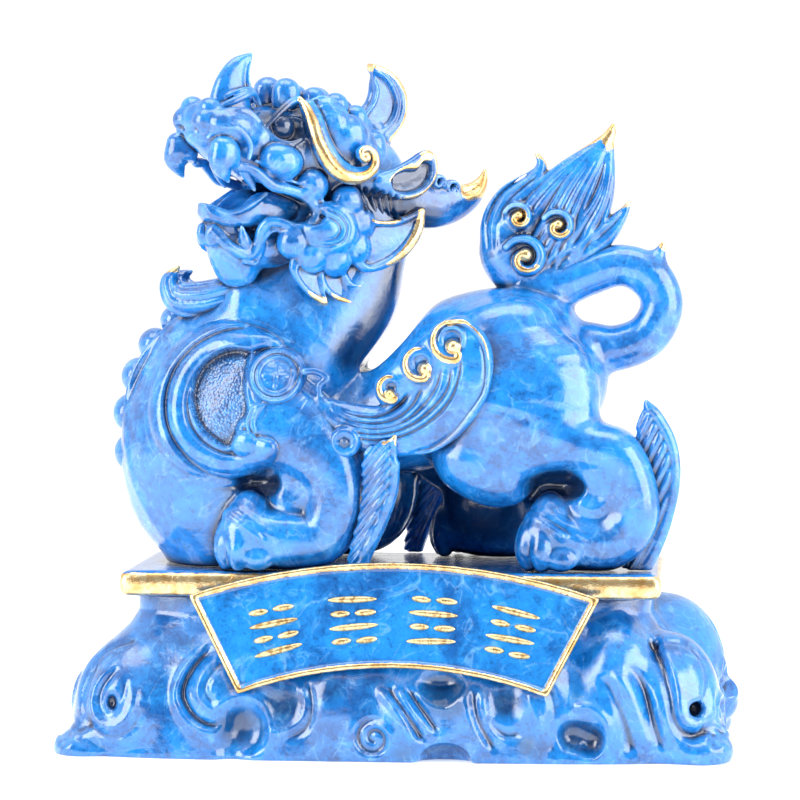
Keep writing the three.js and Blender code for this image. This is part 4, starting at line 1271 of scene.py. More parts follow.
@dataclass
class Head:
    """The head, carved in its own frame: forward along the snout, towards the plaque's side, and up."""

    step: float = 0.44
    at: Sequence[float] = (-31, -2, 159)
    turn: float = 42.0
    lift: float = 12.0
    lean: float = 4.0
    skull: Points = (
        (-18, 0, -3, 20, 22), (0, 0, 0, 22.5, 26), (16, 0, 1, 20.5, 24), (31, 0, 0, 16, 19),
        (44, 0, -1, 11.5, 15), (53, 0, -1, 8.5, 12), (58, 0, -1, 6, 8.5),
    )
    jaw: Points = (
        (-12, 0, -14, 18, 22), (6, 0, -28, 14, 20), (20, 0, -37, 10.5, 16), (30, 0, -40, 8, 12.4),
        (37, 0, -39.6, 6.6, 9.8), (41.4, 0, -38.4, 4.4, 7),
    )
    throat: Points = ((32, 0, -44.5, 9, 9.5, 7.5), (28.4, 0, -49.5, 8, 9, 7))
    swellings: Sequence[Sequence[float]] = (
        (51, 11.5, 3.4, 12, 7.5, 7.6, 3), (60.4, 6, 8.6, 4.8, 4.8, 4.4, 2.6),
        (61.5, 6.8, 3.2, 5.6, 5.4, 5.2, 1.2), (60.5, 0, 4.5, 5.5, 6, 6, 1.5),
        (55, 15.2, -8.6, 6.6, 5.4, 6.4, 0.8), (4, 21, 11, 9, 7, 9, 3), (31.1, 18.6, -5, 9.2, 7.2, 7.3, 0.9),
        (16.4, 21.4, -11.2, 6.6, 6.2, 6.6, 0.9), (5, 24, -27, 13.5, 9, 12, 1.6),
        (0.5, 25, -14, 7.5, 6, 6.6, 1.2), (-6.4, 25.4, -21, 7, 6, 7, 1.2), (-7, 24.8, -31, 7, 6.4, 7.4, 1.2),
        (1, 24, -37, 7.4, 7, 7.4, 1.2), (10.4, 22.4, -38, 7.4, 6.6, 7, 1.2),
        (18, 19.6, -34.5, 7, 6.4, 6.8, 1.2),
    )
    lip: Points = (
        (47.1, 15.5, -11), (43.9, 16.4, -10.6), (39.1, 18, -12.3), (33, 19.5, -15.2), (27.1, 20.8, -15.1),
        (21.2, 22, -15.7), (16, 23.4, -18.1), (13.2, 24, -21.8), (15.3, 23.6, -26.6), (19.1, 21.8, -28.7),
        (22.5, 20.4, -28.6), (25.4, 18.6, -28.0), (29.2, 16.4, -28.9), (30.7, 14.6, -32.8),
        (30.1, 13.2, -37.7), (31.0, 12.0, -42.4), (35.0, 11.0, -42.9), (40.9, 9.0, -41.1), (45.7, 4.0, -36.2),
    )
    tongue: Points = (
        (8, 0, -21, 6, 12), (19, 0, -23.5, 7.4, 12.5), (28.5, 0, -25, 8.2, 12), (36, 0, -29, 5, 11),
        (42.5, 0, -31.2, 3.4, 9), (47, 0, -30.4, 2.4, 6.2), (50.4, 0, -27.8, 0.9, 3),
    )
    horn: Points = (
        (46, 0, 6, 10, 7), (48, 0, 13.5, 9.2, 5.8), (49, 0, 21, 7.2, 4.4), (47.8, 0, 28, 4.4, 3),
        (43, 0, 34.4, 0.8, 0.8),
    )
    brow: Points = (
        (26.1, 14, 21.3, 0.8, 1.4), (24.3, 17, 17.8, 1.9, 2.6), (22.2, 20, 12.8, 2.5, 3.2),
        (20.7, 22.5, 7.7, 2.7, 3.4), (17.6, 25, 2.1, 2.8, 3.4), (13.2, 27.5, -2.8, 2.8, 3.4),
        (8.1, 29.5, -5.1, 2.8, 3.4), (3, 30.5, -4.7, 2.6, 3.2), (-1.8, 31, -1.6, 2.2, 3),
        (-3.7, 31, 2.4, 1.9, 2.8), (-2.2, 31, 6.1, 1.6, 2.6), (1.7, 31, 7.6, 1.4, 2.4),
        (4.2, 31, 5.9, 1.2, 2.3), (3.6, 31, 3.6, 1.1, 2.2),
    )
    locks: Sequence[Points] = (
        ((27.6, 6.4, 23.2, 5.8, 5.4), (27, 6.4, 20, 5.8, 5.4)), ((19, 0, 22, 6, 5.6), (18.6, 0, 19, 6, 5.6)),
        ((15, 8.4, 23, 5.4, 5), (15, 8.8, 19, 5.6, 5)), ((8, 0, 23.5, 6, 5.6), (8, 0, 19, 6, 5.6)),
        ((5.6, 10, 23, 5.2, 5), (5.6, 10.6, 18, 5.4, 5)), ((-3, 1, 22, 6, 5.6), (-3, 1, 17, 6, 5.6)),
        ((-4, 11.4, 20.4, 5, 5), (-4.4, 12, 16, 5, 5)),
        ((-11.5, 5, 17.6, 5.4, 5.4), (-11.8, 5, 13, 5.4, 5.4)),
        ((-13, 14, 12, 5.4, 5.4), (-14, 15, 7, 5.4, 5.4)),
        ((14, 16.4, 19.6, 4.8, 5), (11, 19.4, 15, 6.4, 5.8), (7.6, 21.2, 7.6, 5.6, 5.4)),
        ((0.4, 17.2, 15, 4.6, 5), (-3.6, 19.4, 10.8, 5.4, 5.4), (-6, 21, 5, 4.8, 5)),
    )
    crest: Points = (
        (-13.5, 44.5), (-19.7, 44.1), (-25.3, 42.4), (-30.4, 38.8), (-33.4, 34), (-34.2, 29), (-33.2, 23),
        (-29, 17), (-21, 12), (-12, 14), (-11, 20), (-14.6, 25.4), (-17, 29.4), (-17.4, 33.6), (-16, 38.6),
    )
    crest_cup: Points = (
        (-14.8, 41), (-19.4, 40), (-24, 36.8), (-27.4, 31.6), (-27.2, 25.4), (-22, 19), (-15.5, 22),
        (-18.4, 29), (-18.8, 34),
    )
    ear: Points = (
        (-7, -1), (-14.3, 3.4), (-20.2, 8), (-24.2, 11.8), (-27.4, 13.4), (-31, 11.7), (-33, 7.3),
        (-32.8, 2.4), (-30.1, -2.7), (-25, -6.6), (-19.2, -8.2), (-12, -7.4), (-7, -5.5),
    )
    ear_cup: Points = (
        (-13, -2.4), (-15.4, 1.2), (-19, 3.6), (-23.6, 5), (-26, 8.6), (-29.2, 8.4), (-30.6, 3.4),
        (-27.6, -2), (-22, -5.2), (-16, -5.4),
    )
    leaf: Points = (
        (-4, -20), (-8, -18.6), (-14.6, -18.1), (-20.3, -16.3), (-25.4, -12.9), (-30.8, -9.2), (-32.4, -14),
        (-32.6, -19), (-30.6, -25), (-27.1, -30.6), (-22.1, -34.9), (-17, -38), (-11, -39.6), (-5, -36),
        (-2, -28),
    )
    leaf_cup: Points = (
        (-6, -22), (-14, -19.8), (-20.6, -18.2), (-25.6, -15.4), (-28.6, -13.4), (-28.8, -18), (-26.8, -23.6),
        (-23.2, -29.2), (-18.3, -33.7), (-12.4, -36.8), (-7, -33), (-5, -27),
    )
    low_leaves: Sequence[Points] = (
        (
            (17.4, -38), (18.8, -44.6), (14.3, -50), (8.2, -53.9), (0.6, -55.6), (2.8, -50.6), (4.8, -45),
            (5.4, -37),
        ),
        (
            (9, -38), (6.2, -45), (2.8, -50), (-3.4, -52.8), (-11.8, -53.2), (-7.6, -48.6), (-5.2, -43),
            (-4, -35),
        ),
        (
            (1, -36), (-2, -42), (-7, -46.6), (-13, -45.6), (-19.6, -41.6), (-25, -37.6), (-17, -36.2),
            (-11, -34.2),
        ),
    )

    def placing(self) -> np.ndarray:
        """Matrix from the head's frame to the figure's."""
        rad = math.radians
        turned = Matrix.Rotation(math.pi + rad(self.turn), 4, "Z")
        lifted = Matrix.Rotation(-rad(self.lift), 4, "Y")
        leaned = Matrix.Rotation(-rad(self.lean), 4, "X")
        return np.array(Matrix.Translation(self.at) @ turned @ lifted @ leaned)

    def face(self, solid: Field) -> None:
        """Skull, jaw, cheeks, jowls and the open mouth."""
        solid.add(Sweep(self.skull))
        solid.add(Sweep(self.jaw), 4)
        for x, y, z, rx, ry, rz in self.throat:
            solid.add(Egg((x, y, z), (rx, ry, rz)), 4)
        solid.soften(2)
        mouth = (
            (66, 0, -23.5, 13, 30), (52, 0, -21.5, 10.6, 30), (38, 0, -21.5, 8.2, 30), (27, 0, -22, 6.2, 30),
            (18.5, 0, -22.4, 3.6, 30),
        )
        for side in (NEAR, OFF):
            for x, y, z, rx, ry, rz, blend in self.swellings:
                solid.add(Egg((x, y * side, z), (rx, ry, rz)), blend)
        solid.cut(Sweep(mouth, power=2.4), 1.2)
        solid.cut(Egg((22, 0, -22.4), (9, 22, 5)), 1)
        solid.add(Egg((36.5, 0, -34.6), (9.5, 8.4, 4.6)), 1.5)
        for side in (NEAR, OFF):
            solid.cut(Egg((17.5, 25 * side, -22.6), (5.4, 9, 4.4)), 1.2)
            solid.add(Sweep([(x, y * side, z, 2.1, 2.1) for x, y, z in self.lip]), 1.4)
            above = [(x - 2.4, (y + 0.4) * side, z + 3.1, 0.9, 1.2) for x, y, z in self.lip[1:7]]
            behind = [(x - 3.4, (y + 0.2) * side, z - 0.8, 0.9, 1.2) for x, y, z in self.lip[7:9]]
            below = [(x - 2.2, y * side, z - 3.0, 0.9, 1.2) for x, y, z in self.lip[9:17]]
            solid.add(Sweep(above + behind + below), 1.0)

    def mouth(self, solid: Field) -> None:
        """Tongue, fangs and the curls of the chin."""
        solid.add(Sweep(self.tongue, power=3), 0.6)
        solid.cut(
            Sweep(
                ((16, 0, -13, 4, 6), (28, 0, -15.6, 4, 6.4), (37, 0, -23.6, 3.6, 6.4), (45, 0, -26.8, 2.4, 4))
            ),
            1.6,
        )
        for side in (NEAR, OFF):
            fang = (
                (56, 15.8, -6, 6.2, 5), (56.6, 16.2, -11.6, 4.8, 4.4), (54.4, 16.4, -15, 2.8, 3),
                (51.6, 16.2, -17.8, 0.7, 0.8),
            )
            solid.add(Sweep(sided(fang, side)), 0.9)
            inner = ((41, 10, -10.6, 3, 2.6), (38.5, 10.4, -14, 2.2, 2), (35, 10.6, -18, 0.7, 0.7))
            solid.add(Sweep(sided(inner, side)), 0.8)
            ridge = (
                (30, 11.6, -18, 0.8, 1), (37, 11.2, -24.8, 1.2, 1.5), (43, 8.6, -28.6, 1.2, 1.6),
                (49, 3.4, -27.6, 0.8, 1.2),
            )
            solid.add(Sweep(sided(ridge, side)), 1)
            canine = ((33.4, 10.4, -40.4, 3, 2.8), (36, 11.4, -37, 2.2, 2.2), (38.3, 11.6, -32.8, 0.6, 0.7))
            solid.add(Sweep(sided(canine, side)), 0.8)
            chin = ((44, 3.4, -40.4, 2.6, 2.4), (46.6, 3, -38.4, 1.7, 1.8), (47.2, 2.8, -35.8, 0.7, 0.8))
            solid.add(Sweep(sided(chin, side)), 1)

    def snout(self, solid: Field) -> None:
        """Nostrils, the horn on the nose and the folds round it."""
        solid.add(Sweep(self.horn), 1.2)
        for side in (NEAR, OFF):
            solid.cut(Egg((65, 5.4 * side, -0.6), (2.4, 2, 1.5)), 0.8)
            for fold in (
                (
                    (61.4, 10.6, -2.6, 0.8, 1.1), (60.2, 13, 0.6, 1.1, 1.4), (56.4, 17.5, 3, 1.3, 1.6),
                    (51.1, 18.6, 1.6, 1.3, 1.6), (47.2, 19, -2.1, 1.2, 1.5), (46.3, 19, -7.4, 0.7, 1),
                ),
                (
                    (64.4, 8, 6, 0.7, 1), (60, 11.6, 6.8, 1.2, 1.5), (54.6, 13.8, 9.6, 1.4, 1.6),
                    (48, 14.4, 10.6, 1.3, 1.5), (42.6, 15.4, 8, 0.8, 1),
                ),
                (
                    (55.6, 5, 10.4, 1, 1.4), (51.6, 7.4, 13.6, 1.5, 1.7), (46.4, 7.4, 17.2, 1.5, 1.7),
                    (41.4, 5.6, 18.8, 1.2, 1.4), (37, 4.4, 15.6, 0.8, 1),
                ),
                (
                    (53.6, 4.4, 14.8, 0.6, 0.8), (49, 6.4, 18.6, 0.9, 1.1), (44, 5.6, 20.4, 0.9, 1.1),
                    (40.4, 3.6, 20, 0.6, 0.8),
                ),
                (
                    (43.2, 1.4, 32.6, 0.4, 0.5), (44.4, 2.6, 28, 0.6, 0.9), (44.2, 3.6, 24, 0.7, 1),
                    (42.8, 4.4, 20, 0.6, 0.9),
                ),
            ):
                solid.add(Sweep(sided(fold, side)), 1.0)

    def eyes(self, solid: Field) -> None:
        """Deep sockets, round eyes, brows that end in a curl, and the locks of the crown."""
        for lock in self.locks:
            for side in (NEAR, OFF):
                solid.add(Sweep(sided(lock, side), side=(0, 0.94, -0.34)), 0.7)
        for side in (NEAR, OFF):
            solid.cut(Egg((31.4, 20.5 * side, 9), (8.6, 8.6, 7.4)), 1.6)
            solid.add(Egg((30.5, 13.4 * side, 8.6), (4.8, 4.2, 4.8)), 0.3)
            for lid in (
                (
                    (26.4, 14.2, 21, 1.2, 1.4), (29.1, 14, 19.2, 1.6, 1.8), (32.2, 14.5, 16, 1.6, 1.8),
                    (35.6, 14.6, 11.6, 1.2, 1.4), (38, 14.4, 7.4, 0.7, 0.8),
                ),
                (
                    (37.6, 14.6, 5.4, 0.8, 0.8), (33.6, 17.4, 2.4, 1.3, 1.4), (28.6, 19.4, 2.6, 1.3, 1.4),
                    (25, 20.4, 5.4, 0.8, 0.8),
                ),
            ):
                solid.add(Sweep(sided(lid, side)), 0.8)
            under = [(x - 2.3, y - 1.2, z + 1.5, a + 0.8, b) for x, y, z, a, b in self.brow[1:9]]
            solid.add(Sweep(sided(under, side)), 0.8)
            solid.add(Sweep(sided(self.brow, side)), 0.3)
            solid.add(Egg((1.5, 31 * side, 3.8), (2.3, 3.2, 2.3)), 0.3)
            for rim in (
                (
                    (21, 14, 21.4, 0.5, 0.7), (16.8, 16.6, 24, 0.7, 0.9), (11, 19.6, 23, 0.7, 0.9),
                    (6.2, 22.6, 17.6, 0.7, 0.9), (3, 24.6, 11, 0.6, 0.8),
                ),
                (
                    (3.6, 18, 19, 0.5, 0.7), (-1.6, 20.2, 18, 0.7, 0.9), (-7.2, 22, 13, 0.7, 0.9),
                    (-9.6, 23, 7, 0.5, 0.7),
                ),
            ):
                solid.add(Sweep(sided(rim, side)), 0.8)

    def leaves(self, solid: Field) -> None:
        """Crest, mane, ears and the leaves behind the jaw."""
        solid.add(Sweep(((-12, 0, 6, 9, 7), (-20, 0, 12, 9, 6), (-24, 0, 18, 8, 4.6))), 2)
        for side in (NEAR, OFF):
            solid.add(Leaf(self.crest, (2.0, -0.02, -0.03), 2.6, self.crest_cup, 1.9, side), 0.8)
            mane = (
                (-14, 18, -12, 9, 8), (-27, 23, -7.6, 9.4, 7.6), (-38, 26, -7, 9.4, 6.8),
                (-48, 27.6, -4, 7.6, 6), (-55.6, 28.4, 1.4, 5, 4.6), (-59.4, 28.6, 7.6, 2.4, 2.4),
                (-59.8, 28.6, 12.6, 0.7, 0.7),
            )
            solid.add(Sweep(sided(mane, side)), 1.5)
            solid.cut(
                Sweep(
                    sided(
                        ((-49.6, 33.6, 2, 2, 2.6), (-54, 33.4, 4.6, 2.4, 3), (-57.6, 32, 8.6, 1.4, 1.8)), side,
                    )
                ),
                0.7,
            )
            for x, z, size in ((-43.5, 1.4, 3.4), (-36.5, 2.2, 3.2)):
                arc = spiral((x, z), 200, -1.1, size, size * 0.3, 10)
                solid.add(Sweep([(ax, 30 * side, az, 0.9, 2.4) for ax, az in arc]), 0.6)
            solid.add(Sweep(sided(((-4, 22, -4, 6, 5), (-12, 27, -3.6, 5, 4)), side)), 1.5)
            solid.add(Leaf(self.ear, (31, -0.12, 0.0), 2.8, self.ear_cup, 3.4, side), 0.8)
            solid.add(Leaf(self.leaf, (29.6, -0.16, 0.02), 2.6, self.leaf_cup, 2.0, side), 0.6)
            for i, low in enumerate(self.low_leaves):
                middle = np.array(low).mean(axis=0)
                cup = [tuple(middle + (np.array(p) - middle) * 0.72) for p in low]
                solid.add(Leaf(low, (23.4 + 1.4 * i, -0.16, -0.12), 2.4, cup, 1.4, side), 0.6)

    def lines(self, solid: Field) -> None:
        """Swirls on the jowls and combed hair behind the brow."""
        relief = Relief(solid)
        for line, depth in (
            (((12.4, -19), (6.8, -21), (3.5, -24.5), (3.7, -29.4), (8.7, -32.8), (14.7, -34.5)), 1.1),
            (((13.2, -22.1), (8.8, -23.2), (6.6, -26), (7.6, -29.4), (13.8, -32.3)), 1.0),
            (((12.8, -20.6), (7.8, -22.2), (5, -25.2), (5.6, -29.6), (10.8, -32.8)), -0.7),
            (((11.4, -17), (4.4, -19.6), (1, -24.2), (1.6, -30.4)), 0.7),
        ):
            relief.groove(line, 0.62, depth, (0.1, 0.2))
        for shift in np.arange(6) * 3.0:
            relief.groove(
                [(-1.5 - shift, -6.5), (-3.4 - shift, -11), (-6.6 - shift, -16.4)], 0.7, 1.2, (0.1, 0.1),
            )
            relief.groove(
                [(-3 - shift, -6.5), (-4.9 - shift, -11), (-8.1 - shift, -16.4)], 0.5, -0.7, (0.1, 0.1),
            )
        relief.groove([(45, -7.6), (38, -9), (31, -12.2), (24, -12.4), (18, -13.6)], 0.6, 0.7)
        for near, off in ((-16, None), (None, 16)):
            solid.emboss(relief, near=near, off=off)
        groove = Relief(solid)
        groove.groove(
            [(-15.4, 42.8), (-21, 41.4), (-26.2, 37.4), (-29.6, 31.8), (-29.4, 24.8), (-24.4, 17.6)], 0.7, 1.0,
        )
        solid.emboss(groove)

    def gilding(self) -> list[Gilding]:
        """Where the head is gilt, on both sides."""
        lines = [Gilding([(-13.5, 0, 44.5), (-17, 0, 44)], 3.0, 3.0)]
        for side in (NEAR, OFF):
            flat = (
                (self.crest[:8], 3.6, 2.0, 1.5), (self.ear[3:11], 33.6, 1.5, 1.3),
                (
                    ((-12.4, -2), (-14.6, 1.6), (-18.6, 4.3), (-23.2, 5.8), (-25, 9), (-27.6, 11)), 33.4, 1.4,
                    1.6,
                ),
                (
                    ((-9, -18.9), (-14.6, -18.8), (-20.3, -17.2), (-25.4, -13.9), (-29.4, -11.2)), 30.6, 0.7,
                    1.3,
                ),
                (
                    (
                        (-30.2, -11.2), (-30.4, -17.6), (-28.4, -23.8), (-24.8, -30.2), (-19.6, -35.2),
                        (-12.2, -38),
                    ),
                    33, 2.0, 1.7,
                ),
                (self.low_leaves[0][2:5], 27, 1.6, 2.8), (self.low_leaves[1][2:5], 28.4, 1.6, 3.0),
                (self.low_leaves[2][2:6], 30, 1.5, 2.6),
                (((-51, 0.6), (-55, 4), (-58.6, 8), (-60, 13)), 30, 4.4, 5.6),
            )
            for line, y, first, last in flat:
                lines.append(Gilding([(x, y * side, z) for x, z in line], first, last))
            front = [(x + 0.5, (y + 2.8) * side, z - 0.4) for x, y, z, _, _ in self.brow]
            lines.append(Gilding(front[:6], 1.6, 3.0))
            lines.append(Gilding(front[5:], 3.0, 1.8))
            lines.append(Gilding([(1.3, 34 * side, 3.8), (1.8, 34 * side, 3.6)], 2.6, 2.6))
        return lines

    def painted_shade_lines(self) -> list[Gilding]:
        """Where shade is painted on the head: eye sockets with the eyes, mouth, the ears' cups, hair, mane and
        under the chin.
        """
        lines = [Gilding([(12, 0, -20), (22, 0, -16)], 12, 9)]
        for side in (NEAR, OFF):
            for line, size in (
                (((25, 20, 7), (31, 17, 10), (35, 15, 12)), 7.5), (((14, 20, -22.6), (22, 20, -22.4)), 5.5),
                (((-16, 30, -2), (-26, 30, 2), (-28, 30, 5)), 3.6), (((-4, 27, -11.5), (-20, 27, -11)), 5.6),
                (((-27, 27, -12), (-36, 27, -11)), 7), (((21, 16, -45), (18, 14, -42)), 4),
            ):
                lines.append(Gilding([(x, y * side, z) for x, y, z in line], size, size))
        return lines

    def carve(self) -> Carving:
        """The whole head."""
        solid = Field((-64, -40, -60), (75, 40, 51), self.step)
        self.face(solid)
        self.snout(solid)
        self.eyes(solid)
        self.mouth(solid)
        self.leaves(solid)
        self.lines(solid)
        return Carving("head", solid, self.gilding(), self.placing(), keep=0.258, painted_shade_lines=self.painted_shade_lines())


# The plinth


@dataclass
class Rock:
    """Rockwork that swells out below the slab, with folds, hollows, a swirl and a coil at each corner."""

    step: float = 0.8
    width: float = 276.0
    depth: float = 125.0
    height: float = 62.4
    squareness: float = 0.42
    profile: Points = (
        (0, 0.945, 0.95), (0.12, 0.925, 0.94), (0.29, 0.91, 0.92), (0.43, 0.895, 0.89), (0.56, 0.868, 0.85),
        (0.68, 0.82, 0.79), (0.78, 0.768, 0.73), (0.87, 0.742, 0.68), (1, 0.742, 0.68),
    )
    lobes: Points = (
        (-102, 33, 17, 22, 25, 26), (-68, 43, 22, 15, 17, 22), (-50, 42, 30, 14, 15, 14),
        (-20, 43, 18, 15, 17.5, 25), (6, 43, 14, 13, 17, 19), (34, 43, 16, 12, 17, 24),
        (60, 43, 20, 13, 17, 25), (88, 38, 24, 18, 20, 30), (110, 30, 18, 19, 27, 30),
        (121, 44, 4, 13, 14, 9), (-120, 42, 2, 12, 13, 8),
    )
    far_lobe: Sequence[float] = (106, 26, 28, 25, 30, 30)
    hollows: Points = (
        (-107, 57, 21.5, 2.4, 5, 3.6), (-54, 60, 12, 8.5, 8, 10), (-60, 61, 5, 6, 6, 8),
        (-37, 62, 23, 7.6, 6, 9), (21, 58, 31, 9, 8, 6), (23, 58, 1, 10, 8, 6.6),
        (46.5, 61.5, 22.6, 6.4, 4.8, 6.4), (73, 60, 11, 7, 8, 6.6), (79, 59, 9, 5.6, 8, 6.4),
        (118.5, 48.5, 21, 3, 6.4, 3),
    )
    shadows: Points = (
        (-59, -54, 13, 8), (-40, -56, 22, 7), (-21, -56, 27, 5), (7, -56, 4, 5), (25, -54, 25, 10),
        (46.5, -56, 23, 5.5), (57, -56, 7, 6), (75, -55, 11, 7), (-80, -50, 46, 5), (99, -40, 58, 8),
        (-92, -42, 58, 7),
    )
    strokes: Sequence[Sequence] = (
        (
            1, 1.7,
            (
                (-104.5, 34.9), (-110.5, 27), (-111.6, 20.5), (-109, 16.6), (-105, 18), (-102.5, 24),
                (-101.4, 31.8),
            ),
        ),
        (
            1.4, -1.4,
            (
                (-106.9, 37), (-113.8, 28), (-115.4, 20), (-112.4, 14), (-106.5, 12), (-100.5, 15.5),
                (-98, 22), (-97, 29),
            ),
        ),
        (
            1.2, 1.2,
            ((-110, 38), (-117.4, 29), (-119, 20), (-115.8, 12.3), (-107.8, 8.2), (-99.5, 11), (-94.7, 19.1)),
        ),
        (
            1.6, 2.8,
            (
                (-67.7, 43.1), (-73.9, 36.8), (-77.5, 30.5), (-78.7, 25), (-76.3, 19.6), (-72.4, 15.7),
                (-66.9, 13.5), (-62.2, 15.9),
            ),
        ),
        (
            1.4, -1.4,
            ((-70.5, 43), (-77, 37), (-81.2, 30), (-82.2, 24), (-79.5, 17.5), (-74, 12.6), (-67, 10.5)),
        ),
        (1.1, 1.6, ((-66.1, 41.5), (-72.4, 35.2), (-75, 29.7), (-75, 25.1), (-72.4, 20.4), (-68.1, 17.8))),
        (1.4, 1.8, ((-63, 38), (-68.5, 32), (-69.8, 26.5), (-66, 21.5))),
        (1.7, -1.6, ((-66, 19), (-60, 24), (-52, 24.5), (-46.5, 20.5), (-44.5, 13), (-45, 3))),
        (1.5, -1.4, ((-33, 30), (-31, 22), (-33.4, 15), (-39, 11.6), (-46, 11))),
        (1.2, 1.4, ((-29.8, 30), (-28.2, 21), (-30.5, 13), (-37.3, 8.4))),
        (1.6, -1.9, ((-3.5, 28.5), (3.2, 22.5), (8, 15.5), (11, 9.5), (15.5, 6))),
        (1.2, 1.8, ((0.8, 29), (6, 21.8), (10.3, 15.2), (14.8, 8))),
        (1.5, -1.7, ((4.4, 29), (9.4, 22.1), (14, 16), (18.5, 10.5))),
        (1.2, 1.8, ((8.6, 28.3), (13.3, 21.4), (18, 15), (20.5, 11.5))),
        (1.6, -1.6, ((12.4, 27.5), (17.7, 22), (24.9, 21.2), (30, 27))),
        (1.6, -1.7, ((31, 29), (31.5, 21), (34.5, 12), (39.5, 4))),
        (1.2, 1.6, ((34.4, 29), (34.9, 21), (37.6, 13.4), (42.4, 5))),
        (1.4, -1.4, ((37.8, 27.5), (38.4, 21), (41.2, 13.6), (45.6, 8))),
        (1.2, 1.5, ((39.1, 18.4), (42.3, 13.4), (46.9, 11), (52.7, 12))),
        (2, -1.5, ((54.3, 29), (57.9, 19.6), (59.4, 10.4), (57, 3))),
        (1.7, 1.4, ((62.5, 31), (65.2, 22), (64.2, 12.7), (65, 3))),
        (2, -2.2, ((71.5, 22), (79, 22), (84.3, 17.5), (85.7, 11.5), (83.3, 5.5), (79.6, 2))),
        (2.5, -2, ((88.2, 37), (94.1, 27), (97.4, 17), (101.3, 4))),
        (1.9, 1.6, ((83.6, 34), (88.8, 25), (92.3, 15.4), (95.2, 4))),
        (1.9, 1.7, ((93.6, 38.5), (99.4, 28.6), (102.8, 18.6), (107.2, 5))),
        (2, 2.4, ((101.5, 46), (106.5, 37), (109.3, 26.4), (112.3, 15), (117.5, 10.8), (124, 11.5))),
        (
            1.7, -1.6,
            ((105.2, 46), (110.4, 37), (113.2, 28), (113.4, 20.5), (117, 15.6), (122.6, 17), (125, 22.4)),
        ),
        (1.8, 0.8, ((-122, 6.4), (-107.8, 3.6), (-92.1, 4.6))),
    )

    def core(self, solid: Field) -> None:
        """The rock's bulk, an oval near a rectangle at each height."""
        x, y, z = solid.axes
        share = np.clip((z + SOLES) / self.height, 0, 1)
        heights, wide, deep = np.array(self.profile).T
        a = (np.interp(share, heights, wide) * self.width / 2)[None, None, :]
        b = (np.interp(share, heights, deep) * self.depth / 2)[None, None, :]
        power = 2 / self.squareness
        k = ((np.abs(x)[:, None, None] / a) ** power + (np.abs(y)[None, :, None] / b) ** power) ** (1 / power)
        around = (k - 1) * np.minimum(a, b)
        top = (z + SOLES - self.height)[None, None, :]
        solid.values = np.maximum(around, top).astype(np.float32)

    def swirl(self, relief: Relief, x: float, z: float, size: float, start: float, turns: float) -> None:
        """Cuts a spiral with a soft ridge between its turns."""
        line = spiral((x, z), start, turns, size, size * 0.18, 16)
        relief.groove(line, size * 0.11 + 0.35, size * 0.26, (0.35, 0.0))
        ridge = spiral((x, z), start, turns, size * 1.28, size * 0.4, 16)
        relief.groove(ridge, size * 0.13 + 0.4, -size * 0.16, (0.35, 0.2))

    def faces(self, solid: Field) -> None:
        """Folds and swirls on the long faces and the ends."""
        relief = Relief(solid)
        for width, deep, line in self.strokes:
            relief.groove([(x, z - SOLES) for x, z in line], width, deep, (0.12, 0.12))
        self.swirl(relief, -4.2, 9.2 - SOLES, 7.4, 60, 1.6)
        self.swirl(relief, 126.5, 9.6 - SOLES, 4.2, 150, -1.3)
        self.swirl(relief, -126, 7.6 - SOLES, 4.6, 30, 1.3)
        relief.ring((118.5, 21 - SOLES), 0, 1.6, 1.2)
        solid.emboss(relief, near=-18)
        solid.emboss(relief, off=18)
        for end in (-1, 1):
            relief = Relief(solid, 1, 2)
            for y, z, size, start, turns in (
                (-24, 24, 9, 70, 1.2), (10, 30, 8, 10, -1.2), (34, 18, 9, 120, 1.2),
            ):
                self.swirl(relief, -end * y, z - SOLES, size, start, turns * end)
            for y0, y1, bow in ((-40, -48, 4), (-12, -8, -4), (22, 16, 5)):
                line = [(y0, 50), (0.6 * y0 + 0.4 * y1 + bow, 38), (0.3 * y0 + 0.7 * y1 - bow, 20), (y1, 6)]
                relief.groove([(y, z - SOLES) for y, z in line], 1.8, 1.7, (0.2, 0.2))
            if end < 0:
                solid.emboss(relief, near=-100)
            else:
                solid.emboss(relief, off=100)

    def carve(self, plaque: "Plaque") -> Carving:
        """The rock, with a bed for the plaque.

        Args:
            plaque: what is set against it.

        Returns:
            The rock.
        """
        solid = Field((-141, -65, -SOLES - 1.5), (141, 65, -SOLES + 79), self.step)
        self.core(solid)
        for face in (NEAR, OFF):
            for x, y, z, rx, ry, rz in self.lobes:
                solid.add(Egg((x, face * y, z - SOLES), (rx, ry, rz)), 5)
        x, y, z, rx, ry, rz = self.far_lobe
        solid.add(Egg((x, y, z - SOLES), (rx, ry, rz)), 4)
        solid.add(Egg((130, 32, 14 - SOLES), (6.6, 9, 8.5)), 2)
        self.faces(solid)
        for face in (NEAR, OFF):
            for x, y, z, rx, ry, rz in self.hollows:
                solid.cut(Egg((x, face * y, z - SOLES), (rx, ry, rz)), 2.4)
        solid.cut(Block((-160, -80, -SOLES + self.height), (160, 80, 60), 0.1))
        bed = plaque.bed(solid)
        solid.values = blend_union(solid.values, bed, 1.0)
        solid.cut(Block((-160, -80, -SOLES - 20), (160, 80, -SOLES), 0.1))
        # Painted shadows under the lobes and in the hollows of the rock.
        painted_shade_lines = [
            Gilding([(x - 1, y * s, z - SOLES), (x + 1, y * s, z - SOLES)], r, r)
            for x, y, z, r in self.shadows for s in (1, -1)
        ]
        return Carving("rock", solid, (), keep=0.293, painted_shade_lines=painted_shade_lines, painted_shade_depth=0.42, stands_for="plinth")


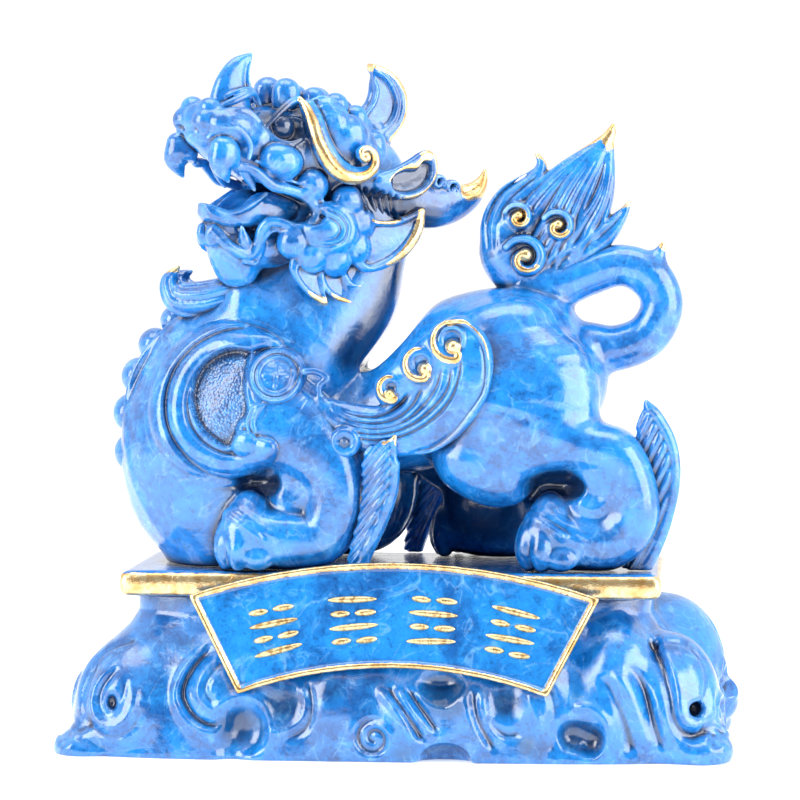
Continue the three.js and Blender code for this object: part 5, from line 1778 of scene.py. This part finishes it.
@dataclass
class Slab:
    """The board on the rock that the figure stands on, gilt along its edge."""

    width: float = 211.4
    depth: float = 93.6
    thickness: float = 10.0

    def carve(self) -> Carving:
        """The slab, with a worn edge."""
        half_x, half_y = self.width / 2, self.depth / 2
        top = SLAB_TOP - SOLES
        solid = Field(
            (-half_x - 2, -half_y - 2, top - self.thickness - 2), (half_x + 2, half_y + 2, top + 2), 1.5,
        )
        solid.add(Block((-half_x, -half_y, top - self.thickness), (half_x, half_y, top), 2.6))
        relief = Relief(solid)
        waves = 0.25 * np.sin(relief.U * 0.31) + 0.2 * np.sin(relief.U * 0.83 + 1)
        relief.heights = waves * np.exp(-(((relief.V - top + 5) / 4) ** 2))
        solid.emboss(relief, near=-half_y + 6)
        solid.emboss(relief, off=half_y - 6)
        solid.values = np.maximum(solid.values, (solid.axes[2] - top)[None, None, :])
        x, y, z = half_x + 1, half_y + 1, top - 0.52 * self.thickness
        corners = [(-x, -y, z), (x, -y, z), (x, y, z), (-x, y, z), (-x, -y, z)]
        rim = [Gilding([a, b], 5.2, 5.2) for a, b in zip(corners[:-1], corners[1:])]
        return Carving("slab", solid, rim, keep=1.0, stands_for="plinth")


@dataclass
class Plaque:
    """A fan-shaped plaque that leans back on the rock, with a gilt rim round a sunk field."""

    top_width: float = 159.5
    bottom_width: float = 119.6
    height: float = 41.0
    top_radius: float = 246.0
    bottom_radius: float = 172.0
    thickness: float = 4.0
    tilt: float = 11.0
    offset: float = 3.0
    top_front: float = -53.1
    rise: float = 5.0
    rim: float = 1.25

    def outline(self) -> list:
        """The fan's outline, with its origin at the middle of the upper arc."""
        arcs = []
        for radius, half, drop, turn in (
            (self.top_radius, self.top_width / 2, 0, 1),
            (self.bottom_radius, self.bottom_width / 2, self.height, -1),
        ):
            angles = math.pi / 2 - math.asin(half / radius) * np.linspace(1, -1, 15) * turn
            arcs.append(np.stack([radius * np.cos(angles), radius * np.sin(angles) - radius - drop], axis=1))
        upper, lower = arcs
        shares = np.array((0.03, 0.25, 0.5, 0.75, 0.97))[:, None]
        left = upper[-1] + (lower[0] - upper[-1]) * shares
        right = lower[-1] + (upper[0] - lower[-1]) * shares
        return [tuple(point) for point in np.vstack([upper, left, lower, right])]

    def placing(self) -> np.ndarray:
        """Matrix from the plaque's own plane to the figure's frame."""
        turn = Matrix.Rotation(math.radians(90 - self.tilt), 4, "X")
        return np.array(
            Matrix.Translation((self.offset, self.top_front, SLAB_TOP + self.rise - SOLES)) @ turn
        )

    def bed(self, rock: Field) -> np.ndarray:
        """Distances to the block of rock behind the plaque."""
        out = np.full(rock.values.shape, FAR, np.float32)
        spans, axes = rock.window(np.array((-84, -60, -60)), np.array((88, -15, 6)))
        placing = self.placing()
        x, y, z = np.meshgrid(*axes, indexing="ij")
        local = (np.stack([x, y, z], axis=-1) - placing[:3, 3]) @ placing[:3, :3]
        edge = flat_distance(self.outline(), local[..., 0], local[..., 1]) + self.rise + 1.6
        front = local[..., 2] + self.thickness + 0.3
        back = -local[..., 2] - 40
        out[spans] = np.maximum(np.maximum(edge, front), back)
        return out

    def carve(self) -> Carving:
        """The plaque itself."""
        half = self.top_width / 2 + 2
        solid = Field((-half, -self.height - 14, -self.thickness - 1), (half, 2, 3), 0.66)
        u, v = np.meshgrid(solid.axes[0], solid.axes[1], indexing="ij")
        edge = flat_distance(self.outline(), u, v)[:, :, None]
        z = solid.axes[2][None, None, :]
        plate = np.maximum(edge + 0.3, np.maximum(z + 0.5, -self.thickness - z))
        bead = np.sqrt((edge + self.rim) ** 2 + (z * 0.9 + 0.15) ** 2) - self.rim
        solid.values = blend_union(plate, bead, 0.5).astype(np.float32)
        ring = self.outline()
        ring.append(ring[0])
        rim = Gilding([(x * 0.99, y * 0.995 - 0.4, 0.5) for x, y in ring], 2.3, 2.3)
        place = self.placing()
        return Carving("plaque_plate", solid, [rim], place, 1.0, slot="plaque_lacquer", stands_for="plaque")


# Pieces that repeat


def scatter(
    name: str, points: np.ndarray, turns: np.ndarray, sizes: np.ndarray, material: bpy.types.Material,
    around: int = 20, down: int = 12,
) -> bpy.types.Object:
    """Cushions set at points, made with Geometry Nodes and turned into one plain mesh.

    Args:
        name: the piece's name.
        points: where each stands, in metres.
        turns: how each is turned about x, y and z.
        sizes: half-size of each along its own axes, in metres.
        material: its finish.
        around: faces round each.
        down: faces from pole to pole.

    Returns:
        The piece.
    """
    seeds = bpy.data.meshes.new(name + "_seeds")
    seeds.from_pydata([tuple(p) for p in points], [], [])
    for label, rows in (("turn", turns), ("size", sizes)):
        layer = seeds.attributes.new(label, "FLOAT_VECTOR", "POINT")
        layer.data.foreach_set("vector", np.array(rows, np.float32).ravel())
    seed = bpy.data.objects.new(name + "_seed", seeds)
    bpy.context.scene.collection.objects.link(seed)

    tree = bpy.data.node_groups.new(name + "_tree", "GeometryNodeTree")
    tree.interface.new_socket("Geometry", in_out="INPUT", socket_type="NodeSocketGeometry")
    for label, value in (("Faces round", around), ("Faces down", down)):
        socket = tree.interface.new_socket(label, in_out="INPUT", socket_type="NodeSocketInt")
        socket.default_value = value
    tree.interface.new_socket("Geometry", in_out="OUTPUT", socket_type="NodeSocketGeometry")
    start, end = tree.nodes.new("NodeGroupInput"), tree.nodes.new("NodeGroupOutput")

    def named(label: str) -> bpy.types.NodeSocket:
        """A vector stored at each point."""
        node = tree.nodes.new("GeometryNodeInputNamedAttribute")
        node.data_type = "FLOAT_VECTOR"
        node.inputs["Name"].default_value = label
        return node.outputs["Attribute"]

    ball = tree.nodes.new("GeometryNodeMeshUVSphere")
    ball.inputs["Radius"].default_value = 1.0
    rotation = tree.nodes.new("FunctionNodeEulerToRotation")
    setting = tree.nodes.new("GeometryNodeInstanceOnPoints")
    real = tree.nodes.new("GeometryNodeRealizeInstances")
    smooth = tree.nodes.new("GeometryNodeSetShadeSmooth")
    dress = tree.nodes.new("GeometryNodeSetMaterial")
    dress.inputs["Material"].default_value = material
    links = (
        (start.outputs["Faces round"], ball.inputs["Segments"]),
        (start.outputs["Faces down"], ball.inputs["Rings"]),
        (start.outputs["Geometry"], setting.inputs["Points"]),
        (ball.outputs["Mesh"], setting.inputs["Instance"]), (named("turn"), rotation.inputs["Euler"]),
        (rotation.outputs["Rotation"], setting.inputs["Rotation"]), (named("size"), setting.inputs["Scale"]),
        (setting.outputs["Instances"], real.inputs["Geometry"]),
        (real.outputs["Geometry"], smooth.inputs["Geometry"]),
        (smooth.outputs["Geometry"], dress.inputs["Geometry"]),
        (dress.outputs["Geometry"], end.inputs["Geometry"]),
    )
    for source, target in links:
        tree.links.new(source, target)
    modifier = seed.modifiers.new("Scatter", "NODES")
    modifier.node_group = tree
    inputs = [s for s in tree.interface.items_tree if s.item_type == "SOCKET" and s.in_out == "INPUT"]
    for socket, value in zip(inputs[1:], (around, down)):
        modifier[socket.identifier] = value
    evaluated = seed.evaluated_get(bpy.context.evaluated_depsgraph_get())
    mesh = bpy.data.meshes.new_from_object(evaluated)
    mesh.name = name
    seed.modifiers.clear()
    bpy.data.objects.remove(seed)
    piece = bpy.data.objects.new(name, mesh)
    bpy.context.scene.collection.objects.link(piece)
    return piece


@dataclass
class ChestPlates:
    """Rounded plates down the front of the chest."""

    places: Points = (
        (-89.5, 96.2, 6.2, 40), (-98.3, 86.8, 6.8, 27), (-105.2, 74.2, 7.4, 15), (-108.6, 59.3, 7.6, 5),
        (-108.2, 43.2, 7.6, -6), (-103.4, 29.2, 7.0, -18), (-95.4, 16.6, 6.4, -28), (-86.0, 7.0, 5.0, -38),
    )

    def build(self, material: bpy.types.Material) -> bpy.types.Object:
        """The plates, one below the other."""
        rows = np.array(self.places, float)
        points = np.column_stack([rows[:, 0], np.zeros(len(rows)), rows[:, 1] + SOLES]) * MM
        turns = np.column_stack([np.zeros(len(rows)), np.radians(rows[:, 3]), np.zeros(len(rows))])
        sizes = np.column_stack([np.full(len(rows), 6.4), 11.0 * rows[:, 2] / 7.6, rows[:, 2]]) * MM
        return scatter("chest_plates", points, turns, sizes, material, 40, 24)


@dataclass
class Strokes:
    """Rows of raised strokes on the plaque, in place of an inscription."""

    clusters: int = 4
    rows: int = 4
    pitch: float = 5.3
    reach: float = 9.6

    def build(self, plaque: Plaque, material: bpy.types.Material) -> bpy.types.Object:
        """The strokes.

        Args:
            plaque: what they stand on.
            material: their finish.

        Returns:
            The piece.
        """
        middle = plaque.top_radius - plaque.height / 2 - 1.5
        spacing = 0.88 * (plaque.top_width + plaque.bottom_width) / 2 / self.clusters
        placing = plaque.placing()
        base = Matrix(placing.tolist()).to_3x3()
        points, turns, sizes = [], [], []
        for cluster in range(self.clusters):
            angle = -(cluster - (self.clusters - 1) / 2) * spacing / middle
            for row in range(self.rows):
                wide = row % 2 == cluster % 2
                parts = ((0.0, 1.0),) if wide else ((-0.52, 0.4), (0.5, 0.44))
                for shift, length in parts:
                    half = self.reach * length
                    along = self.reach * shift
                    up = middle + (row - (self.rows - 1) / 2) * self.pitch
                    x = along * math.cos(angle) - up * math.sin(angle)
                    y = along * math.sin(angle) + up * math.cos(angle) - plaque.top_radius
                    place = placing[:3, :3] @ np.array((x, y, -0.5)) + placing[:3, 3]
                    tilt = angle + math.radians(4 - 2 * row)
                    turn = base @ Matrix.Rotation(tilt, 3, "Z")
                    points.append((place + (0, 0, SOLES)) * MM)
                    turns.append(turn.to_euler())
                    sizes.append((half * MM, 1.35 * MM, 1.45 * MM))
        return scatter("plaque_strokes", np.array(points), np.array(turns), np.array(sizes), material, 24, 16)


# Shader maths


class Value:
    """A number that varies over a surface; arithmetic on it adds Math nodes."""

    def __init__(self, shader: "Shader", socket: bpy.types.NodeSocket) -> None:
        """Wraps a socket of a shader."""
        self.shader, self.socket = shader, socket

    def math(self, operation: str, *others: object, clamp: bool = False) -> "Value":
        """Adds a Math node."""
        node = self.shader.node(
            "ShaderNodeMath", {"operation": operation, "use_clamp": clamp}, dict(enumerate((self, *others))),
        )
        return Value(self.shader, node.outputs[0])

    def __add__(self, other: object) -> "Value":
        """Sum."""
        return self.math("ADD", other)

    __radd__ = __add__

    def __mul__(self, other: object) -> "Value":
        """Product."""
        return self.math("MULTIPLY", other)

    __rmul__ = __mul__

    def __sub__(self, other: object) -> "Value":
        """Difference."""
        return self.math("SUBTRACT", other)

    def __rsub__(self, other: float) -> "Value":
        """Difference from a number."""
        return (self * -1) + other

    def power(self, exponent: float) -> "Value":
        """Raised to a power."""
        return self.math("POWER", exponent)

    def clamped(self) -> "Value":
        """Held from 0 to 1."""
        return self.math("ADD", 0.0, clamp=True)

    def between(self, low: float, high: float) -> "Value":
        """Soft step from 0 at low to 1 at high."""
        node = self.shader.node(
            "ShaderNodeMapRange", {"interpolation_type": "SMOOTHSTEP"},
            {"Value": self, "From Min": low, "From Max": high, "To Min": 0.0, "To Max": 1.0},
        )
        return Value(self.shader, node.outputs[0])


class Shader:
    """A material's nodes."""

    def __init__(self, name: str) -> None:
        """Starts an empty material."""
        self.material = bpy.data.materials.new(name)
        self.material.use_nodes = True
        self.tree = self.material.node_tree
        self.tree.nodes.clear()

    def node(self, kind: str, settings: dict, inputs: dict) -> bpy.types.Node:
        """Adds a node."""
        node = self.tree.nodes.new(kind)
        for key, value in settings.items():
            setattr(node, key, value)
        for key, value in inputs.items():
            socket = node.inputs[key]
            if isinstance(value, Value):
                self.tree.links.new(value.socket, socket)
            elif isinstance(value, bpy.types.NodeSocket):
                self.tree.links.new(value, socket)
            else:
                socket.default_value = value
        return node

    def attribute(self, name: str) -> Value:
        """A number stored on the mesh."""
        return Value(self, self.node("ShaderNodeAttribute", {"attribute_name": name}, {}).outputs["Fac"])

    def noise(
        self, place: object, scale: float, detail: float = 4, rough: float = 0.55, bend: float = 0,
    ) -> Value:
        """Cloudy pattern."""
        inputs = {"Vector": place, "Scale": scale, "Detail": detail, "Roughness": rough, "Distortion": bend}
        return Value(self, self.node("ShaderNodeTexNoise", {}, inputs).outputs["Fac"])

    def mix(self, factor: object, a: object, b: object) -> bpy.types.NodeSocket:
        """Blends two colours."""
        node = self.node("ShaderNodeMix", {"data_type": "RGBA"}, {0: factor})
        for key, value in ((6, a), (7, b)):
            if isinstance(value, bpy.types.NodeSocket):
                self.tree.links.new(value, node.inputs[key])
            else:
                node.inputs[key].default_value = (*value, 1)
        return node.outputs[2]


@dataclass(frozen=True)
class MarbledLacquer:
    """Blue lacquer, clouded and veined like marble and gilt on rims, with painted shade in hollows and creases
    (partly a darker glaze pooled there), painted light on swells, ridges paled partly by rubbed wear and
    partly by painted highlight, and painted shade and highlights on the pebbled dish.
    """

    name: str
    deep: Sequence[float] = (0.005, 0.105, 0.38)
    mid: Sequence[float] = (0.008, 0.215, 0.66)
    light: Sequence[float] = (0.030, 0.345, 0.84)
    # pale: for the veins, and for painted highlights on ridges and pebbles.
    pale: Sequence[float] = (0.34, 0.66, 0.96)
    # night: dark navy for random blots and for the painted shade.
    night: Sequence[float] = (0.003, 0.012, 0.055)
    gold: Sequence[float] = (0.72, 0.42, 0.14)
    gold_pale: Sequence[float] = (0.95, 0.77, 0.44)
    gold_dark: Sequence[float] = (0.07, 0.04, 0.015)
    roughness: float = 0.07
    scale: float = 1.0
    # How strong the painted shade in hollows and creases is.
    recess: float = 1.0

    def build(self) -> bpy.types.Material:
        """The material."""
        s = Shader(self.name)
        place = s.node("ShaderNodeTexCoord", {}, {}).outputs["Object"]
        k = self.scale
        clouds = s.noise(place, 30 * k, 5, 0.6, 0.8)
        mottle = s.noise(place, 170 * k, 6, 0.68, 0.4)
        fine = s.noise(place, 700 * k, 3, 0.6)
        warp = s.noise(place, 55 * k, 4, 0.6, 1.5)
        lines = s.noise(place, 24 * k, 3, 0.5, 2.4)
        thin = s.noise(place, 62 * k, 2, 0.5, 1.6)
        cavity = s.attribute("cavity")
        hollow = s.attribute("hollow")
        # Noise that breaks up the edges of the pale ridges and of the dark creases.
        breakup = mottle * 0.5 + fine * 0.5
        colour = s.mix(clouds.between(0.36, 0.6), self.deep, self.mid)
        # Painted light: convex swells, where the hollow attribute is negative, turn lighter; bright also holds
        # random tone from mottle and warp.
        swell = (hollow * -1 + (clouds - 0.5) * 0.8).between(-0.05, 0.55)
        bright = mottle.between(0.42, 0.68) * 0.4 + warp.between(0.5, 0.75) * 0.3 + swell * 0.3
        colour = s.mix(bright.clamped(), colour, self.light)
        vein = (1 - (lines - 0.5).math("ABSOLUTE") * 38).clamped() * warp.between(0.42, 0.62)
        hair = (1 - (thin - 0.5).math("ABSOLUTE") * 30).clamped() * mottle.between(0.45, 0.62)
        colour = s.mix((vein * 0.26 + hair * 0.2).clamped(), colour, self.pale)
        blots = (fine * 0.45 + mottle * 0.55).between(0.49, 0.36)
        colour = s.mix(blots * 0.42, colour, self.night)
        # Pale on sharp ridges: partly rubbed wear, partly painted highlight.
        ridge = (cavity + (breakup - 0.5) * 0.5).between(-0.26, -0.6)
        colour = s.mix((ridge * 0.6).clamped(), colour, self.pale)
        # Painted shade in creases, partly standing for glaze pooled in them; below it, painted shade in
        # recesses from the hollow attribute.
        painted_shade = (cavity + (breakup - 0.5) * 0.3).between(0.04, 0.3) * self.recess
        shade = (hollow + (clouds - 0.5) * 0.35).between(0.06, 0.58) * self.recess
        colour = s.mix((painted_shade * 0.82).clamped(), colour, self.night)
        colour = s.mix((shade * 0.9).clamped(), colour, self.night)
        # On the pebbled dish: painted shade between the pebbles and painted highlights on them.
        grain = s.attribute("grain").between(0.3, 0.5)
        cells = s.node("ShaderNodeTexVoronoi", {}, {"Vector": place, "Scale": 950.0})
        apart = Value(s, cells.outputs["Distance"])
        colour = s.mix(grain * apart.between(0.35, 0.8) * 0.6, colour, self.night)
        colour = s.mix(grain * apart.between(0.32, 0.05) * 0.6, colour, self.pale)
        gilt = s.attribute("gilt")
        patch = (gilt + (mottle - 0.5) * 0.6 + (fine - 0.5) * 0.5).between(0.44, 0.52)
        leaf = s.mix(mottle.between(0.35, 0.65), self.gold, self.gold_pale)
        tarnish = (cavity * 1.2 + (fine - 0.5) * 1.3 + (mottle - 0.5) * 0.6).between(0.1, 0.42)
        leaf = s.mix(tarnish * 0.9, leaf, self.gold_dark)
        colour = s.mix(patch, colour, leaf)
        rough = patch * 0.16 + (fine - 0.5) * 0.06 + self.roughness
        height = clouds * 1.6 + mottle * 0.8 + fine * 0.14 * (patch * 3 + 0.5) - grain * apart * 1.1
        bump = s.node("ShaderNodeBump", {}, {"Strength": 0.3, "Distance": 0.0008, "Height": height})
        shader = s.node(
            "ShaderNodeBsdfPrincipled", {},
            {
                "Base Color": colour, "Metallic": patch * 0.85, "Roughness": rough, "IOR": 1.85,
                "Coat Weight": 0.2, "Coat Roughness": 0.05, "Normal": bump.outputs["Normal"],
            },
        )
        s.node("ShaderNodeOutputMaterial", {}, {"Surface": shader.outputs[0]})
        return s.material


@dataclass(frozen=True)
class GoldLeaf:
    """Worn gold on the plaque's strokes."""

    name: str
    light: Sequence[float] = (0.93, 0.72, 0.38)
    dark: Sequence[float] = (0.42, 0.25, 0.09)

    def build(self) -> bpy.types.Material:
        """The material."""
        s = Shader(self.name)
        place = s.node("ShaderNodeTexCoord", {}, {}).outputs["Object"]
        blotch = s.noise(place, 420, 5, 0.65, 0.3)
        grain = s.noise(place, 1600, 3, 0.6)
        colour = s.mix(blotch.between(0.36, 0.56), self.dark, self.light)
        bump = s.node(
            "ShaderNodeBump", {}, {"Strength": 0.3, "Distance": 0.0004, "Height": blotch * 0.6 + grain * 0.4},
        )
        shader = s.node(
            "ShaderNodeBsdfPrincipled", {},
            {
                "Base Color": colour, "Metallic": 0.85, "Roughness": 0.22 + grain * 0.2,
                "Normal": bump.outputs["Normal"],
            },
        )
        s.node("ShaderNodeOutputMaterial", {}, {"Surface": shader.outputs[0]})
        return s.material


@dataclass(frozen=True)
class StudioFloor:
    """Plain white floor."""

    name: str
    shade: float = 0.86
    glow: float = 0.45

    def build(self) -> bpy.types.Material:
        """The material."""
        s = Shader(self.name)
        place = s.node("ShaderNodeTexCoord", {}, {}).outputs["Object"]
        tone = s.mix(s.noise(place, 3, 2), (self.shade,) * 3, (self.shade * 0.99,) * 3)
        inputs = {
            "Base Color": tone, "Roughness": 0.9, "Emission Color": (1, 1, 1, 1),
            "Emission Strength": self.glow,
        }
        shader = s.node("ShaderNodeBsdfPrincipled", {}, inputs)
        s.node("ShaderNodeOutputMaterial", {}, {"Surface": shader.outputs[0]})
        return s.material


# The studio


@dataclass
class Studio:
    """Floor, soft lights, surroundings and the camera."""

    azimuth: float = 5.0
    distance: float = 1.4
    eye: float = 0.205
    target: float = 0.137
    millimetre_per_pixel: float = 0.4
    picture: int = 800
    sensor: float = 36.0
    centre_column: float = 398.0

    def camera(self) -> None:
        """Sets the camera at the photograph's angle."""
        turn = math.radians(self.azimuth)
        place = Vector((self.distance * math.sin(turn), -self.distance * math.cos(turn), self.eye))
        aim = Vector((0, 0, self.target)) - place
        data = bpy.data.cameras.new("camera")
        data.sensor_width = self.sensor
        data.lens = aim.length / (self.millimetre_per_pixel * MM * self.picture) * self.sensor
        data.shift_x = (self.picture / 2 - self.centre_column) / self.picture
        data.clip_end = 50
        camera = bpy.data.objects.new("camera", data)
        camera.location = place
        camera.rotation_euler = aim.to_track_quat("-Z", "Y").to_euler()
        bpy.context.scene.collection.objects.link(camera)
        bpy.context.scene.camera = camera

    def light(self, name: str, place: Sequence[float], size: tuple[float, float], power: float) -> None:
        """Adds a soft panel that faces the figure."""
        data = bpy.data.lights.new(name, "AREA")
        data.shape = "RECTANGLE"
        data.size, data.size_y = size
        data.energy = power
        lamp = bpy.data.objects.new(name, data)
        lamp.location = place
        aim = Vector((0, 0, 0.13)) - Vector(place)
        lamp.rotation_euler = aim.to_track_quat("-Z", "Y").to_euler()
        bpy.context.scene.collection.objects.link(lamp)

    def surroundings(self) -> None:
        """White studio, dimmer on the camera's side."""
        world = bpy.data.worlds.new("studio")
        bpy.context.scene.world = world
        world.use_nodes = True
        tree = world.node_tree
        tree.nodes.clear()
        coordinate = tree.nodes.new("ShaderNodeTexCoord")
        split = tree.nodes.new("ShaderNodeSeparateXYZ")
        tree.links.new(coordinate.outputs["Generated"], split.inputs[0])
        ramp = tree.nodes.new("ShaderNodeMapRange")
        ramp.interpolation_type = "SMOOTHSTEP"
        lift = tree.nodes.new("ShaderNodeMath")
        lift.operation = "MULTIPLY_ADD"
        lift.inputs[1].default_value = 0.5
        tree.links.new(split.outputs["Z"], lift.inputs[0])
        tree.links.new(split.outputs["Y"], lift.inputs[2])
        tree.links.new(lift.outputs[0], ramp.inputs["Value"])
        for key, value in (("From Min", -0.75), ("From Max", 0.35), ("To Min", 0.16), ("To Max", 1.06)):
            ramp.inputs[key].default_value = value
        back = tree.nodes.new("ShaderNodeBackground")
        back.inputs["Color"].default_value = (1, 1, 1, 1)
        tree.links.new(ramp.outputs[0], back.inputs["Strength"])
        out = tree.nodes.new("ShaderNodeOutputWorld")
        tree.links.new(back.outputs[0], out.inputs["Surface"])

    def floor(self) -> bpy.types.Object:
        """A wide plain floor."""
        half, count = 6.0, 12
        axis = np.linspace(-half, half, count + 1)
        points = [(x, y, 0.0) for y in axis for x in axis]
        row = count + 1
        faces = [
            (j * row + i, j * row + i + 1, (j + 1) * row + i + 1, (j + 1) * row + i) for j in range(count)
            for i in range(count)
        ]
        mesh = bpy.data.meshes.new("floor")
        mesh.from_pydata(points, [], faces)
        floor = bpy.data.objects.new("floor", mesh)
        floor.data.materials.append(StudioFloor("floor").build())
        bpy.context.scene.collection.objects.link(floor)
        return floor

    def build(self) -> None:
        """The whole studio."""
        self.camera()
        self.floor()
        self.surroundings()
        self.light("left_panel", (-1.2, -0.9, 0.7), (0.9, 1.3), 20)
        self.light("right_panel", (1.4, -0.55, 0.6), (1.5, 1.3), 25)
        self.light("top_panel", (0.0, -0.1, 1.6), (1.4, 0.9), 11)
        bpy.context.scene.view_settings.view_transform = "Standard"


# Assembly


class Workshop:
    """Turns carvings into pieces of the scene."""

    def __init__(self) -> None:
        """Makes the finishes."""
        self.lacquer = MarbledLacquer("marbled_lacquer").build()
        self.plate = MarbledLacquer("plaque_lacquer", recess=0.6).build()
        self.leaf = GoldLeaf("gold_leaf").build()

    def store(self, mesh: bpy.types.Mesh, label: str, values: np.ndarray) -> None:
        """Keeps one number for each vertex on a mesh."""
        layer = mesh.attributes.get(label) or mesh.attributes.new(label, "FLOAT", "POINT")
        layer.data.foreach_set("value", np.array(values, np.float32))

    def piece(self, shell: Shell, carving: Carving) -> bpy.types.Object:
        """A plain mesh from a shell, thinned where its carving says so.

        Args:
            shell: the closed mesh.
            carving: what it comes from.

        Returns:
            The piece.
        """
        mesh = bpy.data.meshes.new(shell.name)
        count = len(shell.quads)
        mesh.vertices.add(len(shell.points))
        mesh.vertices.foreach_set("co", ((shell.points + (0, 0, SOLES)) * MM).astype(np.float32).ravel())
        mesh.loops.add(4 * count)
        mesh.loops.foreach_set("vertex_index", shell.quads.astype(np.int32).ravel())
        mesh.polygons.add(count)
        mesh.polygons.foreach_set("loop_start", np.arange(0, 4 * count, 4, dtype=np.int32))
        mesh.update(calc_edges=True)
        self.store(mesh, "cavity", shell.cavity)
        self.store(mesh, "gilt", shell.gilt)
        self.store(mesh, "hollow", shell.hollow)
        if shell.grain is not None:
            self.store(mesh, "grain", shell.grain)
        piece = bpy.data.objects.new(shell.name, mesh)
        bpy.context.scene.collection.objects.link(piece)
        if carving.keep < 1:
            thin = piece.modifiers.new("Thin", "DECIMATE")
            thin.ratio = carving.keep
            evaluated = piece.evaluated_get(bpy.context.evaluated_depsgraph_get())
            piece.data = bpy.data.meshes.new_from_object(evaluated)
            piece.data.name = shell.name
            piece.modifiers.clear()
            bpy.data.meshes.remove(mesh)
        piece.data.shade_smooth()
        piece.data.materials.clear()
        piece.data.materials.append(self.plate if carving.slot == "plaque_lacquer" else self.lacquer)
        return piece

    def seat(self, piece: bpy.types.Object, node: str) -> None:
        """Ties a piece to the body and hides the solid that it stands for."""
        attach(piece, BODY)
        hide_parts(node)
        log.info("%s: %d faces, stands for %s", piece.name, len(piece.data.polygons), node)


def fins() -> list[Fin]:
    """The four leaves on elbows and heels."""
    made = []
    for name, side, reach in (("elbow_fin_near", NEAR, 0), ("elbow_fin_far", OFF, 15)):
        stations = (
            (2.8 + reach, 45.5, 53, 0.7, 1.2), (-0.5 + reach, 45, 48, 4.6, 3.0),
            (-2.8 + reach, 44.5, 43.5, 7.4, 3.8), (-3.4 + reach, 43.5, 31.8, 7.2, 4),
            (-6 + reach, 43, 20.5, 6.3, 4), (-10.3 + reach, 42.5, 9, 5.2, 3.8),
            (-12.5 + reach, 42, 1.5, 4.4, 3.4),
        )
        edge = ((3.4, 52.4), (4, 44), (2.9, 32.4), (-0.6, 23), (-5.2, 12.4), (-8.6, 5.2), (-9.6, 1))
        rim = [(x + reach, z) for x, z in edge]
        gilt = [(x + reach, 47, z) for x, z in ((-1.6, 50.6), (0.6, 51.8), (2.7, 53), (3.9, 49), (4.1, 45))]
        made.append(Fin(name, side, stations, rim, rib_pitch=3.7, gilt=gilt))
    for name, side, stride in (("heel_fin_near", NEAR, 0), ("heel_fin_far", OFF, 38)):
        stations = (
            (99.4 - stride, 28, 66, 0.8, 1.2), (101 - stride, 28, 61, 4.2, 3),
            (102 - stride, 28, 54, 7.4, 3.4), (103.5 - stride, 28, 46, 8.6, 3.6),
            (104 - stride, 28, 35, 8.8, 3.6), (101 - stride, 28, 20, 8.7, 3.6),
            (97.5 - stride, 28, 7.4, 7.6, 3.4), (95.5 - stride, 28, 1, 6.4, 3.2),
        )
        rim = [
            (x - stride, z)
            for x, z in (
                (100, 65), (104, 61.6), (111, 47), (111.8, 35.6), (108.7, 20), (104, 7.4), (100.4, 1),
            )
        ]
        made.append(Fin(name, side, stations, rim, rib_pitch=7.6, rib_slant=0.9))
    return made


def carve_all() -> tuple[list[Carving], list[Shell]]:
    """Carves every form and meshes it.

    Returns:
        The carvings and their shells, in the same order.
    """
    plaque = Plaque()
    torso = Torso().carve()
    with ThreadPoolExecutor(4) as pool:
        jobs = [pool.submit(Head().carve), pool.submit(Rock().carve, plaque)]
        for side, label in ((NEAR, "near"), (OFF, "far")):
            jobs.append(pool.submit(Wing(side, "wing_" + label).carve, torso.solid))
            jobs.append(pool.submit(ShoulderPatch(side, "shoulder_ornament_" + label).carve, torso.solid))
        jobs += [pool.submit(TailTuft().carve), pool.submit(Beard().carve)]
        jobs += [pool.submit(Slab().carve), pool.submit(plaque.carve)]
        jobs += [pool.submit(fin.carve) for fin in fins()]
        carvings = [torso] + [job.result() for job in jobs]
        around = Surroundings(carvings)
        shells = list(pool.map(lambda carving: carving.shell(), carvings))
    for shell in shells:
        # The hollow attribute darkens the lacquer in recesses as painted shade, joined with the painted shade
        # lines, and lightens swells as painted light.
        shell.hollow = np.maximum(around.hollow(shell.points), shell.painted_shade)
    return carvings, shells


def main() -> None:
    """Builds every piece, in order."""
    logging.basicConfig(level=logging.INFO, format="%(name)s: %(message)s")
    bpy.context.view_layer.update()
    Studio().build()
    workshop = Workshop()
    carvings, shells = carve_all()
    for carving, shell in zip(carvings, shells):
        workshop.seat(workshop.piece(shell, carving), carving.stands_for)
    plates = ChestPlates().build(workshop.lacquer)
    workshop.seat(plates, "pixiu")
    strokes = Strokes().build(Plaque(), workshop.leaf)
    workshop.seat(strokes, "plaque")


if __name__ == "__main__":
    main()
